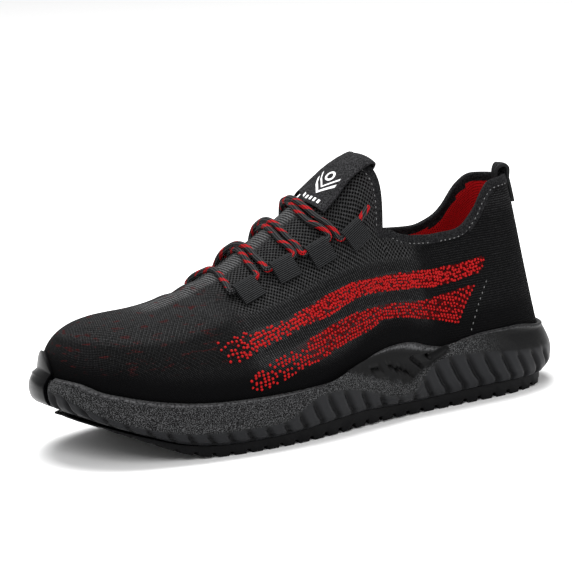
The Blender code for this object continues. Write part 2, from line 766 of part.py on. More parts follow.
def loop_frame(row, inner):
    """Middle of a lace loop on the throat, with its axes: along the throat, down the side, outwards."""
    x = (LOOP_PLACES[row][int(inner)] - 0.5) * LENGTH
    step = 0.003
    origin = throat_place(x, inner)
    way = throat_place(x + step, inner) - throat_place(x - step, inner)
    way /= np.linalg.norm(way)
    out = crown_normal(x, origin[1])
    down = np.cross(out, way)
    down *= -np.sign(down[2]) / np.linalg.norm(down)
    out = np.cross(down, way)
    out *= np.sign(out[2])
    return origin, way, down, out


def loop_seat(row, inner, spots):
    """How far the upper stands out under a lace loop, at places down the side from its middle."""
    origin, way, down, out = loop_frame(row, inner)
    near = throat_round(origin[0], inner) + np.linspace(-0.02, 0.02, 21)
    skin = arch_point(near[:, None], np.linspace(0.2, 1, 240)[None, :]).reshape(-1, 3) - origin
    skin = skin[np.abs(skin @ way) < LOOP_LENGTH / 2 + GAP]
    run, rise = skin @ down, skin @ out
    misses = [np.abs(run - spot) for spot in spots]
    return [rise[miss <= max(2 * GAP, miss.min())].max() for miss in misses]


def lace_hole(row, inner, end):
    """Centre of a loop's hole, at its toe end (-1), middle (0) or heel end (1)."""
    origin, way, _, out = loop_frame(row, inner)
    radius = LACE_WIDTH / 2 + GAP + LOOP_WALL
    seat = max(loop_seat(row, inner, np.linspace(-radius, radius, 5)))
    return origin + out * (seat + radius + GAP) + way * end * LOOP_LENGTH / 2


def lace_loops():
    """Folded webbing tabs that carry the lace along both sides of the throat."""
    hole = LACE_WIDTH / 2 + GAP
    radius = hole + LOOP_WALL
    tail = LOOP_REACH - radius
    made = []
    for row in range(len(LOOP_PLACES)):
        for inner in (False, True):
            origin, way, down, out = loop_frame(row, inner)
            centre = lace_hole(row, inner, 0)
            spots = np.array((0.5, 0.8, 1.0)) * tail
            seat = np.array(loop_seat(row, inner, spots)) + 1.5 * GAP - (centre - origin) @ out
            outline = [(-radius * math.sin(t), radius * math.cos(t)) for t in np.radians(np.linspace(-20, 180, 8))]
            outline += list(zip(spots, seat))
            outline.append((tail, seat[-1] + 1.4 * LOOP_WALL))
            inside = [(hole * math.cos(t), hole * math.sin(t)) for t in np.radians(np.arange(0, 360, 45))]
            name = f"lace_loop_{'inner' if inner else 'outer'}_{row + 1}"
            made.append(extruded(name, outline, inside, centre, down, out, way, LOOP_LENGTH, "webbing"))
    return made


def extruded(name, outline, hole, centre, first, second, way, length, tint):
    """Outline with a hole, drawn on two axes and extruded both ways along a third."""
    work = bmesh.new()
    loops = []
    for shape in (outline, hole):
        verts = [work.verts.new(centre + first * u + second * v - way * length / 2) for u, v in shape]
        loops.append([work.edges.new((verts[k], verts[(k + 1) % len(verts)])) for k in range(len(verts))])
    filled = bmesh.ops.triangle_fill(work, edges=loops[0] + loops[1], use_beauty=True)
    flat = [f for f in filled["geom"] if isinstance(f, bmesh.types.BMFace)]
    grown = bmesh.ops.extrude_face_region(work, geom=flat)
    moved = [v for v in grown["geom"] if isinstance(v, bmesh.types.BMVert)]
    bmesh.ops.translate(work, verts=moved, vec=way * length)
    bmesh.ops.recalc_face_normals(work, faces=work.faces)
    mesh = bpy.data.meshes.new(name)
    work.to_mesh(mesh)
    work.free()
    mesh.materials.append(material(tint))
    made = bpy.data.objects.new(name, mesh)
    bpy.context.scene.collection.objects.link(made)
    return made


def strand(start, stop, lift, slip, peak=0.5, count=13):
    """Path of a lace across the throat, from one hole to another, over the tongue, lifted most at the
    given share of the way."""
    over = LACE_WIDTH / 2 + LACE_LIFT
    misses = [end - crown_place(end[0], end[1], over) for end in (start, stop)]
    points = []
    for s in np.linspace(0, 1, count):
        x, y = (start + (stop - start) * s)[:2]
        x -= slip * math.sin(math.pi * s)
        fades = [1 - smooth(share / 0.3) for share in (s, 1 - s)]
        raised = lift * math.sin(math.pi * s ** (math.log(0.5) / math.log(peak))) ** 2
        point = crown_place(x, y, over + raised)
        points.append(point + misses[0] * fades[0] + misses[1] * fades[1])
    return np.array(points)


def tube(name, path, radius, sides, tint, turned=0.0):
    """Round cord along a path, with closed ends."""
    way = np.gradient(path, axis=0)
    way /= np.linalg.norm(way, axis=1, keepdims=True)
    first = np.cross(way, (0, 0, 1.0))
    first /= np.linalg.norm(first, axis=1, keepdims=True)
    second = np.cross(way, first)
    turns = 2 * np.pi * (np.arange(sides) + turned) / sides
    rings = [p + radius * (np.outer(np.cos(turns), a) + np.outer(np.sin(turns), b))
             for p, a, b in zip(path, first, second)]
    faces = ring_faces(len(rings), sides)
    faces += [tuple(range(sides)), tuple((len(rings) - 1) * sides + k for k in range(sides))]
    return add_object(name, np.vstack(rings), faces, tint)


def laces():
    """Lace across the throat: a bar at the toe end and three crossings."""
    radius, sides = LACE_WIDTH / 2, 8
    made = []

    def exit_place(row, inner, end):
        way = loop_frame(row, inner)[1]
        return lace_hole(row, inner, end) + way * end * (LACE_CLEAR + radius)

    bar = strand(exit_place(0, False, -1), exit_place(0, True, -1), 0.0, LOOP_PLACES[0][-1])
    made.append(tube("lace_bar", bar, radius, sides, "lace"))
    for row in range(len(LOOP_PLACES) - 1):
        slip = LOOP_PLACES[row + 1][-1]
        low = strand(exit_place(row, False, 1), exit_place(row + 1, True, -1), 0.0, slip + LACE_SPREAD)
        high = strand(exit_place(row, True, 1), exit_place(row + 1, False, -1), LACE_WIDTH * 0.95,
                      slip - LACE_SPREAD, LACE_CROSS)
        under = tube(f"lace_crossing_{row + 1}", low, radius, sides, "lace")
        over = tube(f"lace_over_{row + 1}", high, radius, sides, "lace", turned=0.4)
        join = under.modifiers.new("Join", "BOOLEAN")
        join.operation = "UNION"
        join.solver = "MANIFOLD"
        join.object = over
        over.hide_render = True
        over.display_type = "WIRE"
        made.append(under)
    return made


def toe_guard():
    """Rubber bumper that wraps the tip of the toe, from the outsole up over the rim."""
    spread = np.linspace(-0.5, 0.5, 17)
    rounds = (spread * GUARD_WIDTH - GUARD_SHIFT) / PLAN.length
    rows = []
    for height, inset, _, _, let_in in wall_rows(rounds)[1:]:
        place = PLAN.inside(rounds, inset - (1 - let_in) * (GUARD_WALL + GAP))
        rows.append(np.column_stack((place, height)))
    rim = rim_height(PLAN.point(rounds)[:, 0])
    crest = GUARD_RISE * (1 - (2 * np.abs(spread)) ** 2.2)
    for share in (0.0, 0.5, 1.0):
        climb = climb_at(rounds, rim + GUARD_WALL + np.maximum(crest, GAP) * share + GAP * share)
        rows.append(arch_point(rounds, climb) + arch_normal(rounds, climb) * (GAP + GUARD_WALL))
    return sheet("toe_guard", np.array(rows), GUARD_WALL, -1, "rubber")


def main():
    """Clear the scene and build the shoe."""
    for old in list(bpy.data.objects):
        bpy.data.objects.remove(old)
    outsole()
    midsole()
    toe_guard()
    insole()
    upper()
    tongue_label()
    pull_loop()
    lace_loops()
    laces()


main()
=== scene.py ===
"""Looks of a safety sneaker, the left shoe of a pair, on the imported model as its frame.

Metres, +Z up, toe to -X and the outer side of the foot to -Y. Each sub-assembly is a class that builds
its own dense mesh from the shape of the last and dresses it.
"""
from __future__ import annotations

import json
import logging
import math
from dataclasses import dataclass
from enum import Enum

import bmesh
import bpy
import numpy as np
from mathutils import Matrix, Vector
from mathutils.bvhtree import BVHTree

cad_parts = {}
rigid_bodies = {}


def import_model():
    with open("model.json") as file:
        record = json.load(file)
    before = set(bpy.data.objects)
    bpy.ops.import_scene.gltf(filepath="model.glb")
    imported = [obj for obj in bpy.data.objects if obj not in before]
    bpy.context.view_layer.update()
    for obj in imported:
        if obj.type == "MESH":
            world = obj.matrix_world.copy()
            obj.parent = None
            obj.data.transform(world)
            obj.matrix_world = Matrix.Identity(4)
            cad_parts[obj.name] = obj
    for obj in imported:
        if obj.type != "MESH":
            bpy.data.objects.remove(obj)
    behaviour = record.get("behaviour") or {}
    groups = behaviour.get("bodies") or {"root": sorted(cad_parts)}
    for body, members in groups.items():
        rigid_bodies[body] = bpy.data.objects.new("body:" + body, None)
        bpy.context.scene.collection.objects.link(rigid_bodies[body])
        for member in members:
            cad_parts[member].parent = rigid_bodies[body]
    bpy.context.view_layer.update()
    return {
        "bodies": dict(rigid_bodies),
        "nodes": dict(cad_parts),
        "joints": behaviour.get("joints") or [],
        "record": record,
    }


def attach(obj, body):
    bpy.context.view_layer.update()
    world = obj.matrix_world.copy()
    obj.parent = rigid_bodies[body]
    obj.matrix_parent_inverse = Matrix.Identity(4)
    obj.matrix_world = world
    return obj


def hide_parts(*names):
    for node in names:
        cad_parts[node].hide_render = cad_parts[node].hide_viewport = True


LOG = logging.getLogger("sneaker")
MM = 0.001
FAR = 99.0
Array = np.ndarray
Tint = tuple[float, float, float]


def smooth(value: Array | float) -> Array:
    """Eased step from 0 to 1."""
    value = np.clip(value, 0.0, 1.0)
    return value * value * (3 - 2 * value)


def hermite(start: Array, stop: Array, leave: Array, arrive: Array, s: Array | float) -> Array:
    """Cubic from one value to the next.

    Args:
        start: Value at 0.
        stop: Value at 1.
        leave: Slope at 0.
        arrive: Slope at 1.
        s: Place between them.

    Returns:
        The values there.
    """
    return (start * (1 + 2 * s) * (1 - s) ** 2 + leave * s * (1 - s) ** 2
            + stop * s * s * (3 - 2 * s) + arrive * s * s * (s - 1))


def column(table: tuple, index: int, at: Array | float) -> Array:
    """Smooth curve through one column of a table.

    Args:
        table: Rows whose first number is the place.
        index: Column that is read.
        at: Places to read it at.

    Returns:
        The values, without overshoot between the rows.
    """
    rows = np.array(table, float)
    x, y = rows[:, 0], rows[:, index]
    slope = np.gradient(y, x)
    step = np.diff(y) / np.diff(x)
    for k in range(len(x)):
        near = [step[j] for j in (k - 1, k) if 0 <= j < len(step)]
        if len(near) == 2 and near[0] * near[1] <= 0:
            slope[k] = 0.0
        else:
            slope[k] = np.clip(slope[k], -3 * min(map(abs, near)), 3 * min(map(abs, near)))
    at = np.clip(at, x[0], x[-1])
    k = np.clip(np.searchsorted(x, at, side="right") - 1, 0, len(x) - 2)
    h = x[k + 1] - x[k]
    return hermite(y[k], y[k + 1], slope[k] * h, slope[k + 1] * h, (at - x[k]) / h)


def run_along(points: Array) -> Array:
    """Length along a line of places, up to each of them."""
    return np.concatenate(([0], np.cumsum(np.linalg.norm(np.diff(points, axis=0), axis=-1))))


def off_path(x: Array, z: Array, path: tuple) -> Array:
    """Distance from a line of places that are seen from the side, in millimetres."""
    near = np.full(np.shape(x), FAR)
    for (x0, z0), (x1, z1) in zip(path, path[1:]):
        share = ((x - x0) * (x1 - x0) + (z - z0) * (z1 - z0)) / ((x1 - x0) ** 2 + (z1 - z0) ** 2)
        share = np.clip(share, 0, 1)
        near = np.minimum(near, np.hypot(x - x0 - share * (x1 - x0), z - z0 - share * (z1 - z0)))
    return near


def fall(distance: Array, width: float) -> Array:
    """Bell that is 1 at no distance."""
    return np.exp(-(distance / width) ** 2)


class Side(Enum):
    """Side of the foot."""

    OUTER = 0
    INNER = 1

    @property
    def sign(self) -> int:
        """Sign of Y on this side."""
        return 1 if self is Side.INNER else -1


class Line(Enum):
    """Lines along the sole whose heights are in the last's table."""

    RIM = 1
    RIBS = 2
    FLOOR = 3
    GROUND = 4
    SEAM = 5


@dataclass(frozen=True)
class LastSizes:
    """Sizes of the last and the sole, in metres."""

    length: float = 0.296
    ball: float = 0.108
    heel: float = 0.080
    midsole: float = 0.035
    cup: float = 0.0265
    spring: float = 0.030
    outsole: float = 0.006
    toe_box: float = 0.067
    instep: float = 0.1278
    collar: float = 0.108
    shift: float = 0.0085
    toe_fan: float = 0.038
    heel_fan: float = 0.043
    tongue_round: float = 0.622
    tongue_bow: float = 0.0018
    tongue_rounding: float = 0.0040


class Last:
    """Shape of the shoe: plan of the sole, heights along it, arches of the upper."""

    # Share of the length, with the outer and the inner half width
    PLAN = ((0.0, -0.111, 0.111), (0.027, 0.370, 0.537), (0.081, 0.667, 0.778), (0.169, 0.861, 0.944),
            (0.270, 0.972, 1.000), (0.355, 1.000, 0.972), (0.456, 1.020, 0.923), (0.557, 1.042, 0.909),
            (0.659, 1.060, 0.938), (0.760, 1.040, 0.963), (0.861, 1.000, 0.963), (0.939, 0.800, 0.775),
            (0.983, 0.450, 0.400), (1.0, 0.025, -0.025))
    # Share of the length, with the heights of the lines, each over its size
    HEIGHTS = ((0.000, 1.190, 1.050, 1.150, 0.860, 0.20), (0.020, 1.160, 0.960, 1.110, 0.780, 0.20),
               (0.045, 1.060, 0.800, 1.000, 0.680, 0.20), (0.080, 0.985, 0.660, 0.880, 0.545, 0.26),
               (0.120, 0.910, 0.540, 0.760, 0.380, 0.42), (0.165, 0.845, 0.450, 0.640, 0.180, 0.70),
               (0.215, 0.800, 0.390, 0.560, 0.040, 0.95), (0.270, 0.780, 0.375, 0.535, 0.000, 1.00),
               (0.330, 0.772, 0.370, 0.530, 0.000, 1.00), (0.375, 0.770, 0.400, 0.535, 0.000, 1.05),
               (0.410, 0.775, 0.520, 0.550, 0.000, 1.15), (0.450, 0.785, 0.645, 0.580, 0.010, 1.25),
               (0.490, 0.840, 0.670, 0.630, 0.020, 1.30), (0.530, 0.950, 0.610, 0.690, 0.030, 1.30),
               (0.570, 1.050, 0.470, 0.750, 0.030, 1.20), (0.610, 1.085, 0.350, 0.800, 0.025, 1.10),
               (0.645, 1.060, 0.365, 0.840, 0.015, 1.10), (0.680, 0.960, 0.540, 0.880, 0.005, 1.15),
               (0.715, 0.900, 0.710, 0.915, 0.000, 1.20), (0.755, 0.960, 0.780, 0.950, 0.000, 1.25),
               (0.810, 1.000, 0.750, 0.985, 0.000, 1.30), (0.880, 0.990, 0.670, 1.000, 0.000, 1.20),
               (0.940, 0.905, 0.610, 1.000, 0.020, 1.00), (1.000, 0.840, 0.560, 1.000, 0.060, 0.80))
    # Share of the length, with the inset of the upper's foot in metres
    FEATHER = ((0.0, 0.0068), (0.080, 0.0056), (0.250, 0.0048), (0.5, 0.0050), (0.75, 0.0062),
               (0.92, 0.0072), (1.0, 0.0072))
    # Share of the length, with the ridge's rise from the toe box (0) to the instep (1)
    RIDGE = ((0.100, -0.030), (0.130, 0.0), (0.180, 0.0), (0.230, 0.018), (0.280, 0.068), (0.330, 0.138),
             (0.380, 0.240), (0.430, 0.385), (0.475, 0.515), (0.515, 0.640), (0.555, 0.785),
             (0.590, 0.910), (0.630, 1.0), (0.680, 1.030), (1.0, 1.030))
    # Share of the side, with the crown outer and inner, the lean and how fast it settles
    ARCH = ((0.0, 2.6, 2.6, 0.0, 1.3), (0.15, 2.6, 2.5, 0.0, 1.3), (0.23, 2.4, 2.1, 0.0, 1.3),
            (0.30, 2.1, 1.6, 0.0, 1.3), (0.38, 1.8, 1.45, 0.0, 1.3), (0.455, 1.8, 1.6, 0.04, 1.4),
            (0.508, 2.3, 2.1, 0.14, 1.6), (0.564, 4.5, 3.6, 0.32, 1.8), (0.622, 14.0, 5.0, 0.50, 2.1),
            (0.70, 12.0, 9.0, 0.58, 2.0), (0.745, 10.0, 10.0, 0.63, 1.9), (0.80, 9.0, 9.0, 0.68, 1.7),
            (0.85, 8.0, 8.0, 0.62, 1.5), (0.92, 8.0, 8.0, 0.50, 1.2), (1.0, 8.0, 8.0, 0.40, 1.1))
    # Share of the side, with the edge's height outer and inner, over the collar's size
    COLLAR = ((0.0, 0.5, 0.5), (0.2, 0.52, 0.52), (0.35, 0.62, 0.62), (0.45, 0.70, 0.70),
              (0.55, 0.79, 0.79), (0.622, 0.868, 0.868), (0.655, 0.822, 0.812), (0.695, 0.798, 0.778),
              (0.745, 0.792, 0.768), (0.780, 0.810, 0.788), (0.812, 0.872, 0.846), (0.838, 0.942, 0.915),
              (0.870, 0.988, 0.965), (0.920, 0.995, 0.985), (1.0, 0.985, 0.985))

    FINE = 24

    def __init__(self, sizes: LastSizes) -> None:
        """Lays out the widest line of the sole."""
        self.size = sizes
        points = self._closed_plan()
        self.loop = np.vstack((points, points[:1]))
        self.run = run_along(self.loop)
        self.around = float(self.run[-1])
        self.heel = float(self.run[int(np.argmax(points[:, 0]))] / self.around)

    def _closed_plan(self) -> Array:
        """Fine closed loop from the toe tip along the outer side."""
        rows, size = np.array(self.PLAN), self.size
        reach = 0.5 * (size.ball + (size.heel - size.ball) * smooth((rows[:, 0] - 0.35) / 0.35))
        outer = np.column_stack(((rows[:, 0] - 0.5) * size.length, -rows[:, 1] * reach))
        inner = np.column_stack(((rows[:, 0] - 0.5) * size.length, rows[:, 2] * reach))
        tips = [(outer[0] + inner[0]) / 2, (outer[-1] + inner[-1]) / 2]
        knots = np.vstack((tips[:1], outer[1:-1], tips[1:], inner[-2:0:-1]))
        points = []
        for k in range(len(knots)):
            p0, p1, p2, p3 = (knots[(k + j) % len(knots)] for j in (-1, 0, 1, 2))
            d0, d1, d2 = (np.linalg.norm(b - a) ** 0.5 for a, b in ((p0, p1), (p1, p2), (p2, p3)))
            m1 = (p1 - p0) / d0 - (p2 - p0) / (d0 + d1) + (p2 - p1) / d1
            m2 = (p2 - p1) / d1 - (p3 - p1) / (d1 + d2) + (p3 - p2) / d2
            for s in np.arange(0, 1, 1 / self.FINE):
                points.append(hermite(p1, p2, m1 * d1, m2 * d1, s))
        return np.array(points)

    def point(self, round_: Array) -> Array:
        """Place on the widest line for a share of the way round."""
        at = np.mod(round_, 1.0) * self.around
        return np.stack([np.interp(at, self.run, self.loop[:, k]) for k in (0, 1)], -1)

    def normal(self, round_: Array) -> Array:
        """Direction out of the sole, square to the widest line."""
        way = self.point(round_ + 0.004) - self.point(round_ - 0.004)
        way = way / np.linalg.norm(way, axis=-1, keepdims=True)
        return np.stack((way[..., 1], -way[..., 0]), -1)

    def inside(self, round_: Array, inset: Array) -> Array:
        """Place that lies the given distance inside the widest line."""
        return self.point(round_) - self.normal(round_) * np.asarray(inset)[..., None]

    def side(self, share: Array, side: Side) -> Array:
        """Way round for a share of one side, from the toe (0) to the heel (1)."""
        share = np.asarray(share, float)
        return 1 - share * (1 - self.heel) if side is Side.INNER else share * self.heel

    def share(self, round_: Array) -> Array:
        """Share of its side, from the toe to the heel, for a way round."""
        round_ = np.mod(round_, 1.0)
        return np.where(round_ <= self.heel, round_ / self.heel, (1 - round_) / (1 - self.heel))

    def along(self, x: Array) -> Array:
        """Share of the length from the toe tip."""
        return np.asarray(x) / self.size.length + 0.5

    def height(self, line: Line, x: Array) -> Array:
        """Height of a line of the sole at X; the seam's is on top of the ground line's."""
        size = self.size
        unit = (size.midsole, size.midsole, size.cup, size.spring, size.outsole)[line.value - 1]
        value = unit * column(self.HEIGHTS, line.value, self.along(x))
        return value + self.height(Line.GROUND, x) if line is Line.SEAM else value

    def feather(self, round_: Array) -> Array:
        """Plan place where the upper enters the cup of the sole."""
        return self.inside(round_, column(self.FEATHER, 1, self.along(self.point(round_)[..., 0])))

    def cup_height(self, round_: Array) -> Array:
        """Height of the cup's floor at a way round."""
        share = self.share(round_)
        across = [self.feather(self.side(share, side))[..., 0] for side in Side]
        return self.height(Line.FLOOR, (across[0] + across[1]) / 2)

    def throat_shift(self, x: Array) -> Array:
        """How far the ridge lies towards the inner side of the foot."""
        return self.size.shift * np.sin(np.pi * np.clip(self.along(x) / 0.63, 0, 1)) ** 0.6

    def ridge(self, share: Array) -> Array:
        """Top of the arch for a share of the side."""
        size, soft = self.size, 0.012
        x = 0.5 * sum(self.point(self.side(share, side))[..., 0] for side in Side)
        low, high = -size.length / 2 + size.toe_fan, size.length / 2 - size.heel_fan
        x = low + soft * np.logaddexp(0, (x - low) / soft) - soft * np.logaddexp(0, (x - high) / soft)
        z = size.toe_box + (size.instep - size.toe_box) * column(self.RIDGE, 1, self.along(x))
        return np.stack((x, self.throat_shift(x), z), -1)

    def crown(self, round_: Array) -> Array:
        """How boxy the arch is at a way round."""
        share = self.share(round_)
        inner = np.mod(round_, 1.0) > self.heel
        return np.where(inner, column(self.ARCH, 2, share), column(self.ARCH, 1, share))

    def arch(self, round_: Array, climb: Array) -> Array:
        """Place on the upper's outer face.

        Args:
            round_: Way round the sole.
            climb: From 0 at the rim to 1 at the ridge.

        Returns:
            The places, one for each pair.
        """
        round_, climb = np.broadcast_arrays(np.asarray(round_, float), np.asarray(climb, float))
        share = self.share(round_)
        crown = self.crown(round_)
        lean, settle = (column(self.ARCH, index, share) for index in (3, 4))
        foot = self.feather(round_)
        foot_z, top = self.height(Line.RIM, foot[..., 0]), self.ridge(share)
        turn = 0.5 * np.pi * climb ** (crown / 2)
        height = np.sin(turn) ** (2 / crown)
        width = (1 - lean * (1 - (1 - np.clip(height, 0, 1)) ** settle)) * np.cos(turn)
        plan = top[..., :2] + (foot - top[..., :2]) * width[..., None]
        return np.concatenate((plan, (foot_z + (top[..., 2] - foot_z) * height)[..., None]), -1)

    def climb_at(self, round_: Array, z: Array) -> Array:
        """The climb at which each arch reaches a height."""
        round_, z = np.broadcast_arrays(np.asarray(round_, float), np.asarray(z, float))
        crown, foot_z = self.crown(round_), self.height(Line.RIM, self.feather(round_)[..., 0])
        height = np.clip((z - foot_z) / (self.ridge(self.share(round_))[..., 2] - foot_z), 0, 1)
        return (np.arcsin(height ** (crown / 2)) / (0.5 * np.pi)) ** (2 / crown)

    def out(self, round_: Array, climb: Array) -> Array:
        """Direction out of the upper at a place on its outer face."""
        step = 0.002
        climb = np.clip(climb, 3 * step, 1 - 3 * step)
        a = self.arch(round_ + step, climb) - self.arch(round_ - step, climb)
        b = self.arch(round_, climb + step) - self.arch(round_, climb - step)
        n = np.cross(a, b)
        return n / np.linalg.norm(n, axis=-1, keepdims=True)

    def collar(self, round_: Array) -> Array:
        """Height of the collar's edge, and in front of it of the line along the throat."""
        inner = np.mod(round_, 1.0) > self.heel
        share = self.share(round_)
        outer, other = (column(self.COLLAR, index, share) for index in (1, 2))
        return self.size.collar * np.where(inner, other, outer)

    def tongue_share(self, rise: Array) -> Array:
        """Share of the side at the tongue's free edge, for the share of the way up it."""
        size = self.size
        bow = size.tongue_bow * np.sin(np.pi * rise) - size.tongue_rounding * np.power(rise, 3)
        return size.tongue_round + 2 * bow / self.around

    def tongue_edge(self, side: Side, rise: Array, back: float = 0.0) -> tuple[Array, Array]:
        """Line at the tongue's free edge.

        Args:
            side: Side of the foot.
            rise: Shares of the way up the edge.
            back: How far the line lies behind the edge.

        Returns:
            The ways round and the climbs.
        """
        start = self.side(self.size.tongue_round, side)
        foot = self.climb_at(start, self.collar(start))
        return self.side(self.tongue_share(rise) - 2 * back / self.around, side), foot + (1 - foot) * rise

    def throat_round(self, x: float, side: Side) -> Array:
        """Way round whose arch stands at the given X."""
        shares = np.linspace(0.1, 0.9, 400)
        return self.side(np.interp(x, self.ridge(shares)[:, 0], shares), side)

    def over_arch(self, round_: float, y: float, lift: float) -> Array:
        """Place on one arch at the given Y, lifted square to the upper."""
        climbs = np.linspace(0.2, 1, 240)
        line = self.arch(np.full_like(climbs, round_), climbs)
        order = np.argsort(line[:, 1])
        climb = np.interp(y, line[order, 1], climbs[order])
        return self.arch(round_, climb) + self.out(round_, climb) * lift

    def over_throat(self, x: float, y: float, lift: float) -> Array:
        """Place over the throat at the given X and Y, lifted square to the upper."""
        side = Side.INNER if y > self.throat_shift(x) else Side.OUTER
        return self.over_arch(self.throat_round(x, side), y, lift)

    def even_rounds(self, count: int) -> Array:
        """Ways round in pairs: the same number of steps on both sides."""
        half = count // 2
        return np.concatenate((self.side(np.arange(half) / half, Side.OUTER),
                               self.side(1 - np.arange(half) / half, Side.INNER)))


# ------------------------------------------------------------------ shader sums and finishes


class Link:
    """A value in a node tree that can be used in sums."""

    def __init__(self, tree: "Tree", socket: bpy.types.NodeSocket) -> None:
        """Wraps one output socket."""
        self.tree, self.socket = tree, socket

    def sum(self, operation: str, *others: "Link | float") -> "Link":
        """Math node on this value and others."""
        inputs = dict(enumerate((self, *others)))
        made = self.tree.node("ShaderNodeMath", {"operation": operation}, inputs)
        return Link(self.tree, made.outputs[0])

    def __add__(self, other: "Link | float") -> "Link":
        """Sum."""
        return self.sum("ADD", other)

    __radd__ = __add__

    def __sub__(self, other: "Link | float") -> "Link":
        """Difference."""
        return self.sum("SUBTRACT", other)

    def __rsub__(self, other: float) -> "Link":
        """Reflected difference."""
        return (self * -1.0) + other

    def __mul__(self, other: "Link | float") -> "Link":
        """Product."""
        return self.sum("MULTIPLY", other)

    __rmul__ = __mul__

    def wave(self, pitch: float) -> "Link":
        """Sine of this length with a pitch in millimetres."""
        return (self * (2 * math.pi / (pitch * MM))).sum("SINE")

    def size(self) -> "Link":
        """This value without its sign."""
        return self.sum("ABSOLUTE")

    def step(self, low: float, high: float) -> "Link":
        """Eased step from 0 at low to 1 at high."""
        made = self.tree.node("ShaderNodeMapRange", {"interpolation_type": "SMOOTHSTEP", "clamp": True},
                              {"Value": self, "From Min": low, "From Max": high})
        return Link(self.tree, made.outputs["Result"])

    def most(self, other: "Link | float") -> "Link":
        """The larger of two values."""
        return self.sum("MAXIMUM", other)


class Tree:
    """Node tree of a material or of a piece, with one way to add a node."""

    def __init__(self, tree: bpy.types.NodeTree) -> None:
        """Wraps a tree."""
        self.tree = tree

    def put(self, socket: bpy.types.NodeSocket, value: object) -> None:
        """Links or sets one input."""
        if isinstance(value, Link):
            self.tree.links.new(value.socket, socket)
        elif isinstance(value, bpy.types.NodeSocket):
            self.tree.links.new(value, socket)
        elif isinstance(value, tuple) and len(value) == 3 and socket.type == "RGBA":
            socket.default_value = (*value, 1.0)
        else:
            socket.default_value = value

    def node(self, kind: str, settings: dict | None = None,
             inputs: dict | None = None) -> bpy.types.Node:
        """Adds a node.

        Args:
            kind: Node type.
            settings: Properties, set first.
            inputs: Values or links by input name or number.

        Returns:
            The node.
        """
        made = self.tree.nodes.new(kind)
        for name, value in (settings or {}).items():
            setattr(made, name, value)
        for key, value in (inputs or {}).items():
            self.put(made.inputs[key], value)
        return made

    def attribute(self, name: str) -> Link:
        """A number kept on the mesh."""
        return Link(self, self.node("ShaderNodeAttribute", {"attribute_name": name}).outputs["Fac"])

    def uv(self, name: str) -> tuple[Link, Link]:
        """The two lengths of a UV map."""
        made = self.node("ShaderNodeUVMap", {"uv_map": name})
        return self.split(made.outputs["UV"])[:2]

    def split(self, vector: bpy.types.NodeSocket) -> tuple[Link, Link, Link]:
        """The three numbers of a vector."""
        made = self.node("ShaderNodeSeparateXYZ", None, {0: vector})
        return tuple(Link(self, made.outputs[k]) for k in range(3))

    def weave(self, name: str, wide: float, tall: float) -> Link:
        """Staggered pattern on a UV map, with its pitches in millimetres."""
        u, v = self.uv(name)
        return u.wave(wide) * v.wave(tall)

    def place(self) -> bpy.types.NodeSocket:
        """Object coordinates, in metres."""
        return self.node("ShaderNodeTexCoord").outputs["Object"]

    def join(self, *numbers: object) -> bpy.types.NodeSocket:
        """Vector of three numbers."""
        return self.node("ShaderNodeCombineXYZ", None, dict(enumerate(numbers))).outputs[0]

    def noise(self, scale: float, detail: float = 2.0,
              vector: bpy.types.NodeSocket | None = None) -> Link:
        """Noise about 0.5, at so many cells to the metre."""
        made = self.node("ShaderNodeTexNoise", None,
                         {"Vector": vector or self.place(), "Scale": scale, "Detail": detail})
        return Link(self, made.outputs["Fac"])

    def mix(self, factor: Link | float, first: object, second: object) -> bpy.types.NodeSocket:
        """Mix of two colours."""
        made = self.node("ShaderNodeMix", {"data_type": "RGBA"})
        for name, value in (("Factor", factor), ("A", first), ("B", second)):
            kind = "VALUE" if name == "Factor" else "RGBA"
            self.put(next(s for s in made.inputs if s.name == name and s.type == kind), value)
        return next(s for s in made.outputs if s.type == "RGBA")


@dataclass(frozen=True)
class Finish:
    """Base of the finishes: a principled surface with a colour, a roughness and a height pattern."""

    name: str
    dark: Tint = (0.0, 0.0, 0.0)
    light: Tint = (0.02, 0.02, 0.02)
    rough: float = 0.8
    gloss: float = 0.3
    coat: float = 0.0
    coat_rough: float = 0.12

    def colour(self, tree: Tree) -> object:
        """Base colour."""
        return self.light

    def relief(self, tree: Tree) -> Link | None:
        """Height pattern in millimetres."""
        return None

    def roughness(self, tree: Tree) -> Link | float:
        """Roughness."""
        return self.rough

    def make(self) -> bpy.types.Material:
        """Builds the material once."""
        made = bpy.data.materials.get(self.name)
        if made:
            return made
        made = bpy.data.materials.new(self.name)
        made.use_nodes = True
        tree = Tree(made.node_tree)
        shader = made.node_tree.nodes["Principled BSDF"]
        tree.put(shader.inputs["Base Color"], self.colour(tree))
        tree.put(shader.inputs["Roughness"], self.roughness(tree))
        shader.inputs["Specular IOR Level"].default_value = self.gloss
        shader.inputs["Coat Weight"].default_value = self.coat
        shader.inputs["Coat Roughness"].default_value = self.coat_rough
        relief = self.relief(tree)
        if relief is not None:
            bump = tree.node("ShaderNodeBump", None, {"Strength": 1.0, "Distance": MM, "Height": relief})
            tree.put(shader.inputs["Normal"], bump.outputs["Normal"])
        return made


